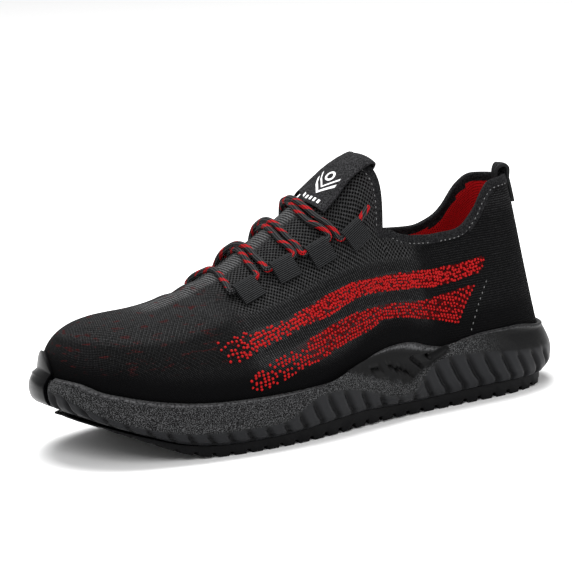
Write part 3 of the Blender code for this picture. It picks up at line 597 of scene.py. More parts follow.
class KnitFinish(Finish):
    """Outer knit: black yarn with open holes, fine ribs and red bands."""

    # Pitches, in millimetres
    HOLES = (2.3, 2.6)
    LOOPS = (1.15, 1.35)
    LEVEL_RIBS, CROSS_RIBS, SLANT_RIBS = 1.15, 1.5, 1.25
    HOLE = (0.0006, 0.0006, 0.0006)
    FLECK = (0.060, 0.007, 0.007)
    UNDER_BAND = (0.060, 0.0008, 0.001)

    def holes(self, tree: Tree) -> Link:
        """Staggered open holes, 1 in a hole."""
        return tree.weave("flat", *self.HOLES).step(-0.02, 0.22) * tree.attribute("open")

    def yarn(self, tree: Tree) -> Link:
        """Fine loops of the knit, 0 to 1."""
        return tree.weave("flat", *self.LOOPS).step(-0.6, 0.8)

    def ribs(self, tree: Tree) -> Link:
        """Fine ribs of the three ribbed zones, 0 to 1."""
        u, _ = tree.uv("flat")
        x, _, z = tree.split(tree.place())
        level = z.wave(self.LEVEL_RIBS).step(-0.5, 0.8) * 0.75 * tree.attribute("level")
        cross = u.wave(self.CROSS_RIBS).step(-0.5, 0.8) * tree.attribute("cross")
        slant = (x * 0.95 + z * 0.30).wave(self.SLANT_RIBS).step(-0.4, 0.8) * tree.attribute("slant")
        return level.most(cross).most(slant)

    def colour(self, tree: Tree) -> object:
        """Black to grey yarn, dark holes, dark red flecks and red under the bands."""
        opened = tree.attribute("open")
        lift = self.yarn(tree) * (1.0 - opened) * 0.50 + self.ribs(tree) * 0.50 + opened * 0.36
        light = (lift * tree.attribute("shade") * (tree.noise(900.0) * 1.2 + 0.4)).step(0.05, 1.0)
        yarn = tree.mix(light, self.dark, self.light)
        x, y, z = tree.split(tree.place())
        streak = tree.noise(420.0, 3.0, tree.join(x * 0.35, y * 0.35, z * 1.5)).step(0.58, 0.70)
        yarn = tree.mix(streak * tree.attribute("fleck") * self.yarn(tree), yarn, self.FLECK)
        yarn = tree.mix(self.holes(tree), yarn, self.HOLE)
        red = tree.attribute("band") + (tree.noise(500.0) - 0.5) * 1.6
        under = red.step(0.0, 0.5) * tree.attribute("dense") * tree.noise(1000.0).step(0.40, 0.55)
        return tree.mix(under, yarn, self.UNDER_BAND)

    def relief(self, tree: Tree) -> Link | None:
        """Yarn loops, ribs and holes."""
        return self.yarn(tree) * 0.10 + self.ribs(tree) * 0.16 - self.holes(tree) * 0.40


class LiningFinish(Finish):
    """Red mesh of the lining and the footbed."""

    PITS = (1.9, 2.2)

    def pits(self, tree: Tree) -> Link:
        """Pits of the mesh, 1 in a pit."""
        return tree.weave("flat", *self.PITS).step(0.25, 0.8)

    def colour(self, tree: Tree) -> object:
        """Red with darker pits."""
        return tree.mix(self.pits(tree), self.light, self.dark)

    def relief(self, tree: Tree) -> Link | None:
        """Pits of the mesh."""
        return self.pits(tree) * -0.25


class ClothFinish(Finish):
    """Close black cloth at the edges of the collar and the tongue."""

    WEAVE = 1500.0
    DEPTH = 0.12

    def colour(self, tree: Tree) -> object:
        """Black with a fine weave."""
        return tree.mix(tree.noise(self.WEAVE).step(0.35, 0.75), self.dark, self.light)

    def relief(self, tree: Tree) -> Link | None:
        """Fine weave."""
        return tree.noise(self.WEAVE) * self.DEPTH


class PlainFinish(Finish):
    """One colour with a fine uneven face."""

    def colour(self, tree: Tree) -> object:
        """The light tint of this stuff, a little uneven."""
        low, high = (tuple(share * t for t in self.light) for share in (0.75, 1.25))
        return tree.mix(tree.noise(300.0), low, high)

    def relief(self, tree: Tree) -> Link | None:
        """Fine unevenness."""
        return tree.noise(2500.0) * 0.03


class SoleFinish(Finish):
    """Foam rubber of the cup sole: smooth ribs with painted shade in their grooves, a grained band and a rim
    bead with a painted highlight.
    """

    GRAIN = 2100.0
    SPECK = (0.074, 0.075, 0.077)
    # Painted shade: near black for the recessed slits and the border groove of the waist panel
    PANEL_GROOVE_SHADE = (0.0004, 0.0004, 0.0004)
    # Painted highlight: pale grey laid along the rim bead and the flat top of the rim, where the top light
    # catches them
    BEAD_HIGHLIGHT = (0.085, 0.085, 0.088)

    def colour(self, tree: Tree) -> object:
        """Charcoal, speckled in the grained band, with painted shade in the rib grooves, the slits and the
        panel's border, and a painted highlight on the bead.
        """
        speck = tree.noise(self.GRAIN).step(0.44, 0.64) * tree.attribute("grain")
        # The ribbed part takes the lighter tint and the band the darker one; painted shade darkens the
        # grooves between the ribs
        base = tree.mix(speck, tree.mix(tree.attribute("rib"), self.dark, self.light), self.SPECK)
        # Painted shade in the panel's slits and along its border
        base = tree.mix(tree.attribute("cut"), base, self.PANEL_GROOVE_SHADE)
        # Painted highlight on the bead and the rim's top, broken up by noise
        return tree.mix(tree.attribute("bead") * tree.noise(900.0).step(0.25, 0.65), base, self.BEAD_HIGHLIGHT)

    def relief(self, tree: Tree) -> Link | None:
        """Crackled grain in the band."""
        return tree.noise(self.GRAIN).step(0.35, 0.70) * tree.attribute("grain") * 0.25

    def roughness(self, tree: Tree) -> Link | float:
        """Satin ribs, duller band."""
        return tree.attribute("grain") * 0.2 + self.rough


class WebbingFinish(Finish):
    """Ribbed webbing: ribs along its UV length."""

    RIBS, YARN = 0.95, 0.55

    def colour(self, tree: Tree) -> object:
        """Black yarn with greyer rib tops."""
        _, v = tree.uv("web")
        tops = v.wave(self.RIBS).step(-0.2, 0.9) * (tree.noise(1300.0) * 0.9 + 0.3)
        return tree.mix(tops, self.dark, self.light)

    def relief(self, tree: Tree) -> Link | None:
        """Ribs and the yarn across them."""
        u, v = tree.uv("web")
        return v.wave(self.RIBS) * 0.11 + u.wave(self.YARN) * 0.03


class LaceFinish(Finish):
    """Round braid, black and grey with red dashes."""

    PLAIT, DASH, LONG_DASH = 1.5, 9.5, 23.0
    RED = (0.36, 0.003, 0.006)

    def plait(self, tree: Tree) -> Link:
        """Slanted plaits, -1 to 1."""
        u, v = tree.uv("braid")
        return (u + v * 0.55).wave(self.PLAIT) * (u - v * 0.55).wave(self.PLAIT)

    def colour(self, tree: Tree) -> object:
        """Black and grey plaits, red in short lengths."""
        u, v = tree.uv("braid")
        plait = self.plait(tree)
        yarn = tree.mix(plait.step(-0.2, 0.6), self.dark, self.light)
        patch = (u + v * 1.7).wave(self.DASH) + u.wave(self.LONG_DASH) * 0.45
        return tree.mix(patch.step(0.55, 0.70) * plait.step(-0.75, 0.1), yarn, self.RED)

    def relief(self, tree: Tree) -> Link | None:
        """Plaits."""
        return self.plait(tree) * 0.16


class LabelFinish(ClothFinish):
    """Woven strap with a plain white design: two nested chevrons, a ring and a row of bars."""

    WEAVE = 1400.0
    DEPTH = 0.10
    WHITE = (0.82, 0.82, 0.82)
    # Millimetres: the design's middle, the chevrons with their height and half width, the ring and the bars
    MIDDLE = 4.5
    CHEVRONS = ((7.6, 0.75), (11.2, 0.45))
    RING_PLACE, RING_RADIUS, RING_HALF = 18.2, 2.3, 0.45
    BAR_PLACE, BAR_PITCH, BAR_HALF = 3.2, 2.6, 1.0
    CHEVRON_SLOPE, CHEVRON_REACH, BARS_REACH = 1.05, 6.6, 6.4

    def colour(self, tree: Tree) -> object:
        """Charcoal weave and the white figure."""
        u, v = tree.uv("web")
        u = u + self.MIDDLE * MM
        arm = u.size()
        lines = [self.within((v - arm * self.CHEVRON_SLOPE - place * MM).size(), half, 0.25)
                 for place, half in self.CHEVRONS]
        figure = lines[0].most(lines[1]) * self.within(arm, self.CHEVRON_REACH, 0.3)
        rise = v - self.RING_PLACE * MM
        ring = ((u * u + rise * rise).sum("SQRT") - self.RING_RADIUS * MM).size()
        bars = u.wave(self.BAR_PITCH).step(-0.1, 0.2) * self.within(arm, self.BARS_REACH, 0.2)
        bars = bars * self.within((v - self.BAR_PLACE * MM).size(), self.BAR_HALF, 0.2)
        figure = figure.most(self.within(ring, self.RING_HALF, 0.25)).most(bars)
        return tree.mix(figure, super().colour(tree), self.WHITE)

    @staticmethod
    def within(length: Link, half: float, edge: float) -> Link:
        """1 where a length is under the half width, with an edge of the given width; in millimetres."""
        return 1.0 - length.step(half * MM, (half + edge) * MM)


KNIT = KnitFinish("outer_knit", (0.0015, 0.0015, 0.0017), (0.115, 0.115, 0.117), rough=0.95, gloss=0.05)
LINING = LiningFinish("red_lining", (0.10, 0.002, 0.002), (0.42, 0.006, 0.008), rough=0.95, gloss=0.10)
FOOTBED = LiningFinish("red_footbed", LINING.dark, LINING.light, rough=0.95, gloss=0.10)
BINDING = ClothFinish("edge_binding", (0.0025, 0.0025, 0.003), (0.022, 0.022, 0.023), rough=0.9, gloss=0.08)
LABEL = LabelFinish("woven_label", (0.004, 0.004, 0.0045), (0.036, 0.036, 0.038), rough=0.85, gloss=0.08)
SOLE = SoleFinish("cup_sole_foam", (0.0010, 0.0010, 0.0012), (0.0105, 0.0108, 0.0120), rough=0.42, gloss=0.09)
WEBBING = WebbingFinish("ribbed_webbing", (0.0015, 0.0015, 0.0018), (0.042, 0.043, 0.045), gloss=0.10)
LACE = LaceFinish("braided_lace", (0.0015, 0.0015, 0.0018), (0.050, 0.050, 0.052), rough=0.75, gloss=0.12)
RED_YARN = PlainFinish("red_yarn", light=(0.33, 0.0026, 0.0032), rough=0.65, gloss=0.14)
STITCH = PlainFinish("stitch_thread", light=(0.12, 0.12, 0.12), rough=0.7)
TREAD = PlainFinish("tread_rubber", light=(0.0030, 0.0030, 0.0034), rough=0.6, gloss=0.08)
GUARD = PlainFinish("guard_rubber", light=(0.0015, 0.0015, 0.0018), rough=0.34, gloss=0.10, coat=0.03)


# ------------------------------------------------------------------ mesh helpers


class Maker:
    """Puts meshes into the scene."""

    @staticmethod
    def mesh(name: str, points: Array, faces: list, finishes: list[Finish],
             uvs: dict[str, Array] | None = None, fields: dict[str, Array] | None = None,
             merge: float = 1e-6) -> bpy.types.Object:
        """Object from points and faces.

        Args:
            name: Name of the piece.
            points: Places of its points.
            faces: Point numbers of each face.
            finishes: Its materials.
            uvs: UV maps by name, one pair of lengths for each point.
            fields: Numbers kept on the points, by name.
            merge: Points closer than this are joined.

        Returns:
            The object, with its faces turned outwards.
        """
        mesh = bpy.data.meshes.new(name)
        mesh.from_pydata(np.asarray(points).tolist(), [], faces)
        corners = np.zeros(len(mesh.loops), int)
        mesh.loops.foreach_get("vertex_index", corners)
        for key, value in (uvs or {}).items():
            layer = mesh.uv_layers.new(name=key)
            layer.data.foreach_set("uv", np.asarray(value, float)[corners].ravel())
        for key, value in (fields or {}).items():
            layer = mesh.attributes.new(key, "FLOAT", "POINT")
            layer.data.foreach_set("value", np.asarray(value, float))
        work = bmesh.new()
        work.from_mesh(mesh)
        bmesh.ops.remove_doubles(work, verts=work.verts, dist=merge)
        bmesh.ops.dissolve_degenerate(work, edges=work.edges, dist=merge)
        bmesh.ops.recalc_face_normals(work, faces=work.faces)
        work.to_mesh(mesh)
        work.free()
        for finish in finishes:
            mesh.materials.append(finish.make())
        mesh.shade_smooth()
        return Maker.show(name, mesh)

    @staticmethod
    def show(name: str, data: bpy.types.ID) -> bpy.types.Object:
        """Puts data into the scene as an object."""
        made = bpy.data.objects.new(name, data)
        bpy.context.scene.collection.objects.link(made)
        return made

    @staticmethod
    def grid(rows: int, columns: int, closed: bool = False) -> list:
        """Quads of a grid, closed round its columns if asked."""
        last = columns if closed else columns - 1
        return [(r * columns + c, r * columns + (c + 1) % columns,
                 (r + 1) * columns + (c + 1) % columns, (r + 1) * columns + c)
                for r in range(rows - 1) for c in range(last)]

    @staticmethod
    def bake(made: bpy.types.Object) -> bpy.types.Object:
        """Turns the evaluated object into a plain mesh and drops its modifiers."""
        graph = bpy.context.evaluated_depsgraph_get()
        mesh = bpy.data.meshes.new_from_object(made.evaluated_get(graph), depsgraph=graph)
        old = made.data
        made.modifiers.clear()
        made.data = mesh
        bpy.data.meshes.remove(old)
        mesh.name = made.name
        return made

    @staticmethod
    def modifier(made: bpy.types.Object, kind: str, **settings: object) -> None:
        """Adds a modifier."""
        added = made.modifiers.new(kind.title(), kind)
        for key, value in settings.items():
            setattr(added, key, value)

    @staticmethod
    def soften(made: bpy.types.Object, width: float, angle: float, segments: int = 2,
               sharp: float | None = None) -> None:
        """Rounds the edges over an angle, bakes the piece and keeps edges over another angle sharp."""
        Maker.modifier(made, "BEVEL", width=width, segments=segments, limit_method="ANGLE",
                       angle_limit=math.radians(angle))
        Maker.bake(made)
        if sharp is not None:
            made.data.set_sharp_from_angle(angle=math.radians(sharp))

    @staticmethod
    def fit(made: bpy.types.Object, slot: str, *nodes: str) -> None:
        """Hangs a piece on the shoe's body, in place of the named nodes."""
        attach(made, "root")
        if nodes:
            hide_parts(*nodes)
        LOG.info("%s: %d faces", made.name, len(made.data.polygons))


class Sprinkler:
    """Geometry nodes that set one small rounded form on each point of a mesh."""

    SIZES = ("Length", "Width", "Height")
    FORM = {"Segments": 6, "Rings": 4, "Radius": 0.5}

    def __init__(self, name: str, finish: Finish) -> None:
        """Builds the tree with its named sizes."""
        group = bpy.data.node_groups.new(name, "GeometryNodeTree")
        face = group.interface
        face.new_socket("Geometry", in_out="INPUT", socket_type="NodeSocketGeometry")
        self.keys = {}
        for label in self.SIZES:
            socket = face.new_socket(label, in_out="INPUT", socket_type="NodeSocketFloat")
            socket.default_value = 1.0
            self.keys[label] = socket.identifier
        face.new_socket("Geometry", in_out="OUTPUT", socket_type="NodeSocketGeometry")
        tree = Tree(group)
        source, sink = tree.node("NodeGroupInput"), tree.node("NodeGroupOutput")
        vector = {"data_type": "FLOAT_VECTOR"}
        kinds = {"out": vector, "way": vector, "grow": {"data_type": "FLOAT"}}
        named = [tree.node("GeometryNodeInputNamedAttribute", kind, {"Name": key})
                 for key, kind in kinds.items()]
        out, way, grow = (node.outputs["Attribute"] for node in named)
        up = tree.node("FunctionNodeAlignRotationToVector", {"axis": "Z"}, {"Vector": out})
        turn = tree.node("FunctionNodeAlignRotationToVector", {"axis": "X", "pivot_axis": "Z"},
                         {"Rotation": up.outputs[0], "Vector": way})
        form = tree.node("GeometryNodeMeshUVSphere", None, self.FORM)
        size = tree.join(*(source.outputs[label] for label in self.SIZES))
        scaled = tree.node("ShaderNodeVectorMath", {"operation": "SCALE"},
                           {0: size, "Scale": grow})
        spread = tree.node("GeometryNodeInstanceOnPoints", None,
                           {"Points": source.outputs["Geometry"], "Instance": form.outputs["Mesh"],
                            "Rotation": turn.outputs[0], "Scale": scaled.outputs[0]})
        real = tree.node("GeometryNodeRealizeInstances", None, {"Geometry": spread.outputs[0]})
        soft = tree.node("GeometryNodeSetShadeSmooth", None, {"Geometry": real.outputs[0]})
        dressed = tree.node("GeometryNodeSetMaterial", None,
                            {"Geometry": soft.outputs[0], "Material": finish.make()})
        tree.put(sink.inputs["Geometry"], dressed.outputs[0])
        self.group, self.finish = group, finish

    def lay(self, name: str, points: Array, out: Array, way: Array, grow: Array,
            size: tuple[float, float, float]) -> bpy.types.Object:
        """Sets the forms.

        Args:
            name: Name of the piece.
            points: Where they stand.
            out: Direction out of the surface, for each.
            way: Direction of their length, for each.
            grow: Scale of each.
            size: Length, width and height.

        Returns:
            The piece as a plain mesh.
        """
        made = Maker.mesh(name, points, [], [self.finish], merge=1e-9)
        for key, value in (("out", out), ("way", way)):
            layer = made.data.attributes.new(key, "FLOAT_VECTOR", "POINT")
            layer.data.foreach_set("vector", np.asarray(value, float).ravel())
        layer = made.data.attributes.new("grow", "FLOAT", "POINT")
        layer.data.foreach_set("value", np.asarray(grow, float))
        added = made.modifiers.new("Forms", "NODES")
        added.node_group = self.group
        for label, value in zip(self.SIZES, size):
            added[self.keys[label]] = value
        return Maker.bake(made)


# ------------------------------------------------------------------ the upper


@dataclass
class Upper:
    """Knitted bootie with its bands, bindings and seams."""

    last: Last
    wall: float = 0.0023
    foot_lift: float = 0.0012
    front: int = 200
    back: int = 90
    low_rows: int = 34
    top_rows: int = 40
    band_rise: float = 0.0003
    binding: float = 0.0052
    binding_rise: float = 0.0004
    bobble: float = 0.00165
    stitch_pitch: float = 0.0029
    # The fixed random draw of the raised stitches: its seed, rows in a band and spread in millimetres
    SEED, STITCH_ROWS, JITTER = 7, 24, 0.12
    # Edges of the two red bands, seen from the side: along, upper edge and lower edge, in millimetres
    BANDS = (
        (((-73, 55), (-62, 56), (-43, 58), (-29, 61), (-15, 65), (-3, 69), (13, 72), (38, 71), (61, 69),
          (82, 69), (101, 71)),
         ((-73, 49), (-68, 45), (-61, 45), (-54, 48), (-41, 51), (-23, 56), (-8, 58), (4, 62), (14, 64),
          (23, 64), (47, 62), (65, 60), (80, 61), (96, 63), (101, 71))),
        (((-62, 34), (-57, 39), (-46, 43), (-38, 45), (-29, 48), (-16, 52), (-5, 55), (7, 57), (21, 58),
          (40, 57), (58, 55), (79, 57), (91, 58)),
         ((-62, 33), (-56, 30), (-49, 31), (-42, 33), (-35, 35), (-25, 38), (-17, 39), (-9, 42), (3, 45),
          (16, 47), (28, 51), (43, 49), (60, 45), (75, 41), (83, 50), (91, 58))),
    )
    # Seam of the heel counter, seen from the side, in millimetres
    COUNTER = ((98, 58), (90, 48), (82, 37))
    # Soft creases: places seen from the side, in millimetres, with depth and width
    CREASES = (
        (((-66, 76), (-60, 66), (-56, 57)), 0.55, 3.2),
        (((-52, 80), (-46, 70), (-42, 62)), 0.40, 3.0),
        (((-104, 60), (-88, 56), (-72, 54)), 0.35, 3.0),
        (((86, 92), (80, 80), (84, 66)), 0.50, 5.0),
        (((60, 84), (66, 74), (76, 66)), 0.35, 4.0),
        (((100, 100), (96, 88), (100, 76)), 0.35, 4.0),
        (((20, 92), (30, 84), (44, 80)), 0.35, 3.5),
    )

    def band(self, x: Array, z: Array) -> Array:
        """How far a place lies inside a red band, in millimetres, below 0 outside."""
        depth = np.full(np.shape(x), -FAR)
        for top, low in self.BANDS:
            ends = np.minimum(x - top[0][0], top[-1][0] - x)
            edges = np.minimum(np.interp(x, *zip(*top)) - z, z - np.interp(x, *zip(*low)))
            depth = np.maximum(depth, np.minimum(edges, ends))
        return depth

    def crease(self, x: Array, z: Array) -> Array:
        """Depth of the soft creases at a place, in metres."""
        total = np.zeros(np.shape(x))
        for path, depth, width in self.CREASES:
            near = off_path(x, z, path)
            total += depth * (fall(near, width) - 0.4 * fall(near - 1.9 * width, width))
        return total * MM

    def edge_lines(self) -> list[Array]:
        """The free edges: the collar on each side, and the tongue."""
        last, lines = self.last, []
        shares = np.linspace(last.size.tongue_round, 1, 160)
        for side in Side:
            rounds = last.side(shares, side)
            lines.append(last.arch(rounds, last.climb_at(rounds, last.collar(rounds))))
            lines.append(last.arch(*last.tongue_edge(side, np.linspace(0, 1, 90))))
        return lines

    def sheet(self) -> tuple[Array, list, dict, dict]:
        """Points, faces, UV maps and fields of the outer face."""
        last, split = self.last, self.last.size.tongue_round
        shares = np.concatenate((np.linspace(0, split, self.front + 1),
                                 np.linspace(split, 1, self.back + 1)[1:]))
        coarse = split * 19 / 20
        pull = np.clip((shares - coarse) / (split - coarse), 0, 1)[:, None]
        rise = np.linspace(0, 1, self.top_rows + 1)[1:]
        lift = np.concatenate((np.zeros(self.low_rows + 1), rise))
        share = shares[:, None] + pull * (last.tongue_share(lift) - split)[None, :]
        share = np.where(shares[:, None] > split + 1e-9, shares[:, None], share)
        fine = np.linspace(0, 1, 400)
        spine = run_along(last.ridge(fine))
        deep = self.low_rows + self.top_rows + 2
        parts, faces = {"points": [], "out": [], "flat": [], "climb": []}, []
        for side in Side:
            rounds = last.side(shares, side)
            edge = last.climb_at(rounds, last.collar(rounds))[:, None]
            low = edge * np.linspace(0, 1, self.low_rows + 1)[None, :]
            climb = np.concatenate((low, edge + (1 - edge) * rise[None, :]), 1)
            round_ = last.side(share, side)
            place = last.arch(round_, climb)
            run = np.cumsum(np.linalg.norm(np.diff(place, axis=1), axis=-1), axis=1)
            run = np.concatenate((np.zeros((len(shares), 1)), run), 1)
            down = last.feather(round_) - last.ridge(share)[..., :2]
            down /= np.linalg.norm(down, axis=-1, keepdims=True)
            flat = np.stack((np.interp(share, fine, spine), np.zeros(share.shape)), -1)
            flat = flat + down * (run[:, -1:] - run)[..., None]
            floor = (last.cup_height(rounds) + self.foot_lift)[:, None]
            foot = np.concatenate((last.feather(rounds), floor), 1)
            parts["points"].append(np.concatenate((foot[:, None], place), 1).reshape(-1, 3))
            for key, grid in (("out", last.out(round_, climb)), ("flat", flat), ("climb", climb[..., None])):
                parts[key].append(np.concatenate((grid[:, :1], grid), 1).reshape(-1, grid.shape[-1]))
            start = side.value * len(shares) * deep
            for i in range(len(shares) - 1):
                for r in range(deep - 1 if i < self.front else self.low_rows + 1):
                    a = start + i * deep + r
                    ring = (a, a + deep, a + deep + 1, a + 1)
                    faces.append(ring if side is Side.OUTER else ring[:1] + ring[:0:-1])
        points, outs, flats, climbs = (np.vstack(rows) for rows in parts.values())
        fields = self.fields(points, climbs[:, 0])
        above = smooth((points[:, 2] - last.height(Line.RIM, points[:, 0])) / 0.006)
        relief = self.band_rise * smooth(fields["band"] + 0.5) + self.binding_rise * fields["bind"]
        relief = (relief - self.crease(points[:, 0] / MM, points[:, 2] / MM)) * above
        return points + outs * relief[:, None], faces, {"flat": flats}, fields

    def fields(self, points: Array, climb: Array) -> dict[str, Array]:
        """Zones of the knit as numbers on the points."""
        x, y, z = (points[:, k] / MM for k in range(3))
        lines = np.vstack(self.edge_lines()) / MM
        edge = np.full(len(points), FAR)
        for k in range(0, len(points), 4000):
            part = points[k:k + 4000] / MM
            edge[k:k + 4000] = np.sqrt(((part[:, None] - lines[None]) ** 2).sum(-1).min(1))
        hem = 1 - smooth((edge - self.binding / MM + 0.4) / 0.8)
        band = self.band(x, z)
        throat = smooth((climb - 0.50) / 0.10)
        flank = smooth((climb - 0.30) / 0.12) * (1 - smooth((climb - 0.86) / 0.08))
        front = 1 - smooth((x + 62) / 14)
        middle = (1 - front) * (1 - smooth((x - 52) / 10))
        tongue = smooth((x - 4) / 8) * smooth((z - 96) / 6)
        toe_holes = front * smooth((x + 132) / 10) * smooth((z - 40) / 8) * (1 - smooth((z - 62) / 5))
        over_band = smooth((z - np.interp(x, *zip(*self.BANDS[0][0])) - 5) / 3)
        ridge = smooth((climb - 0.88) / 0.06)
        opened = np.maximum(0.55 * toe_holes, middle * over_band * flank)
        opened = np.maximum(opened, tongue) * (1 - ridge * (1 - tongue)) * (1 - hem)
        slant = middle * (1 - over_band) * smooth((z - 40) / 10) * (1 - smooth((band + 0.5) / 1.0))
        level = smooth((x - 62) / 10) * (1 - hem) * (1 - smooth((band + 0.5) / 1.0))
        cross = ridge * (1 - tongue) * smooth((x + 100) / 20) * (1 - hem)
        near_sole = smooth((z - self.last.height(Line.RIM, points[:, 0]) / MM - 5) / 12)
        open_face = 0.45 + 0.55 * np.maximum(middle, throat * 0.8)
        shade = 0.16 + 0.84 * near_sole * open_face * (1 - 0.62 * smooth((x - 56) / 16))
        return {"band": band, "dense": smooth((x + 36) / 26), "bind": hem, "open": opened, "slant": slant,
                "level": level, "cross": cross, "shade": (1 - 0.60 * slant) * shade,
                "fleck": front * smooth((z - 42) / 10)}

    def build(self) -> BVHTree:
        """Makes the upper and gives back its outer face for what is sewn on it."""
        points, faces, uvs, fields = self.sheet()
        tree = BVHTree.FromPolygons(points.tolist(), faces)
        made = Maker.mesh("knitted_upper", points, faces, [KNIT, LINING, BINDING], uvs, fields,
                          merge=2e-5)
        bind = np.array([a.value for a in made.data.attributes["bind"].data])
        for poly in made.data.polygons:
            if bind[list(poly.vertices)].mean() > 0.5:
                poly.material_index = 2
        Maker.modifier(made, "SOLIDIFY", thickness=self.wall, offset=-1, use_even_offset=True,
                       use_quality_normals=True)
        Maker.bake(made)
        self.paint_walls(made)
        Maker.fit(made, "knit", "upper")
        return tree

    def paint_walls(self, made: bpy.types.Object) -> None:
        """Gives the inner wall its lining and the edges their binding."""
        mesh = made.data
        half = len(mesh.vertices) // 2
        for poly in mesh.polygons:
            inner = sum(v >= half for v in poly.vertices)
            if inner == len(poly.vertices) and poly.material_index == 0:
                poly.material_index = 1
            elif 0 < inner < len(poly.vertices):
                poly.material_index = 2

    @staticmethod
    def on_skin(skin: BVHTree, x: float, z: float, side: Side) -> tuple[Array, Array] | None:
        """Place on one side of the upper at an X and a height, and the direction out of it there."""
        hit, normal, _, _ = skin.ray_cast(Vector((x, side.sign * 0.2, z)), Vector((0, -side.sign, 0)), 0.4)
        if hit is None:
            return None
        return np.array(hit), np.array(normal if normal.y * side.sign > 0 else -normal)

    def bobbles(self, skin: BVHTree) -> None:
        """Raised red stitches of the bands, single at the toe end and packed towards the heel."""
        rng = np.random.default_rng(self.SEED)
        spots, outs, sizes = [], [], []
        for side in Side:
            for top, low in self.BANDS:
                for row in range(self.STITCH_ROWS):
                    stagger = 0.5 if row % 2 else 0.0
                    x = top[0][0] + stagger * 2.3
                    while x < top[-1][0]:
                        packed = float(smooth((x + 55) / 60))
                        pitch = 2.35 - 0.55 * packed
                        x += pitch
                        z = np.interp(x, *zip(*low)) + (0.6 + row * (1.62 - 0.12 * packed))
                        z += rng.normal(0, self.JITTER)
                        moved = x + stagger * pitch + rng.normal(0, self.JITTER)
                        if self.band(np.array([moved]), np.array([z]))[0] < 0.1 + 0.5 * rng.random():
                            continue
                        if rng.random() < 0.34 * (1 - packed) + 0.20 * packed:
                            continue
                        found = self.on_skin(skin, moved * MM, z * MM, side)
                        if found is None:
                            continue
                        spots.append(found[0] + found[1] * 0.00008)
                        outs.append(found[1])
                        sizes.append(0.92 - 0.12 * packed + 0.16 * rng.random())
        way = np.tile((1.0, 0.0, 0.3), (len(spots), 1))
        forms = Sprinkler("raised_stitch", RED_YARN)
        made = forms.lay("red_raised_stitches", np.array(spots), np.array(outs), way, np.array(sizes),
                         (self.bobble, self.bobble * 0.92, self.bobble * 0.62))
        Maker.fit(made, "knit")

    def stitches(self, skin: BVHTree) -> None:
        """Light stitches along the edges of the collar and the tongue, and down the heel counter's seam."""
        last = self.last
        spots, outs, ways = [], [], []
        for side in Side:
            rounds = last.side(np.linspace(last.size.tongue_round + 0.012, 0.93, 400), side)
            climb = last.climb_at(rounds, last.collar(rounds) - 0.80 * self.binding)
            tongue = last.tongue_edge(side, np.linspace(0.02, 0.90, 300), 0.85 * self.binding)
            for path in ((rounds, climb), tongue):
                line, out = last.arch(*path), last.out(*path)
                run = run_along(line)
                for at in np.arange(0.002, run[-1], self.stitch_pitch):
                    k = min(max(int(np.searchsorted(run, at)), 1), len(line) - 2)
                    spots.append(line[k] + out[k] * np.sign(out[k][1] * line[k][1]) * 0.00042)
                    outs.append(out[k])
                    ways.append(line[k + 1] - line[k - 1])
            for share in np.linspace(0, 1, 9):
                x, z = (float(np.interp(share, (0, 0.5, 1), row)) * MM for row in zip(*self.COUNTER))
                spot, out = self.on_skin(skin, x, z, side)
                spots.append(spot + out * 0.0001)
                outs.append(out)
                ways.append(np.array((0.45, 0.0, 1.0)))
        outs = np.array(outs)
        outs *= np.sign(outs[:, 1] * np.array(spots)[:, 1])[:, None]
        forms = Sprinkler("collar_stitch", STITCH)
        made = forms.lay("collar_stitches", np.array(spots), outs, np.array(ways), np.ones(len(spots)),
                         (0.0014, 0.0006, 0.0005))
        Maker.fit(made, "knit")


# ------------------------------------------------------------------ the sole


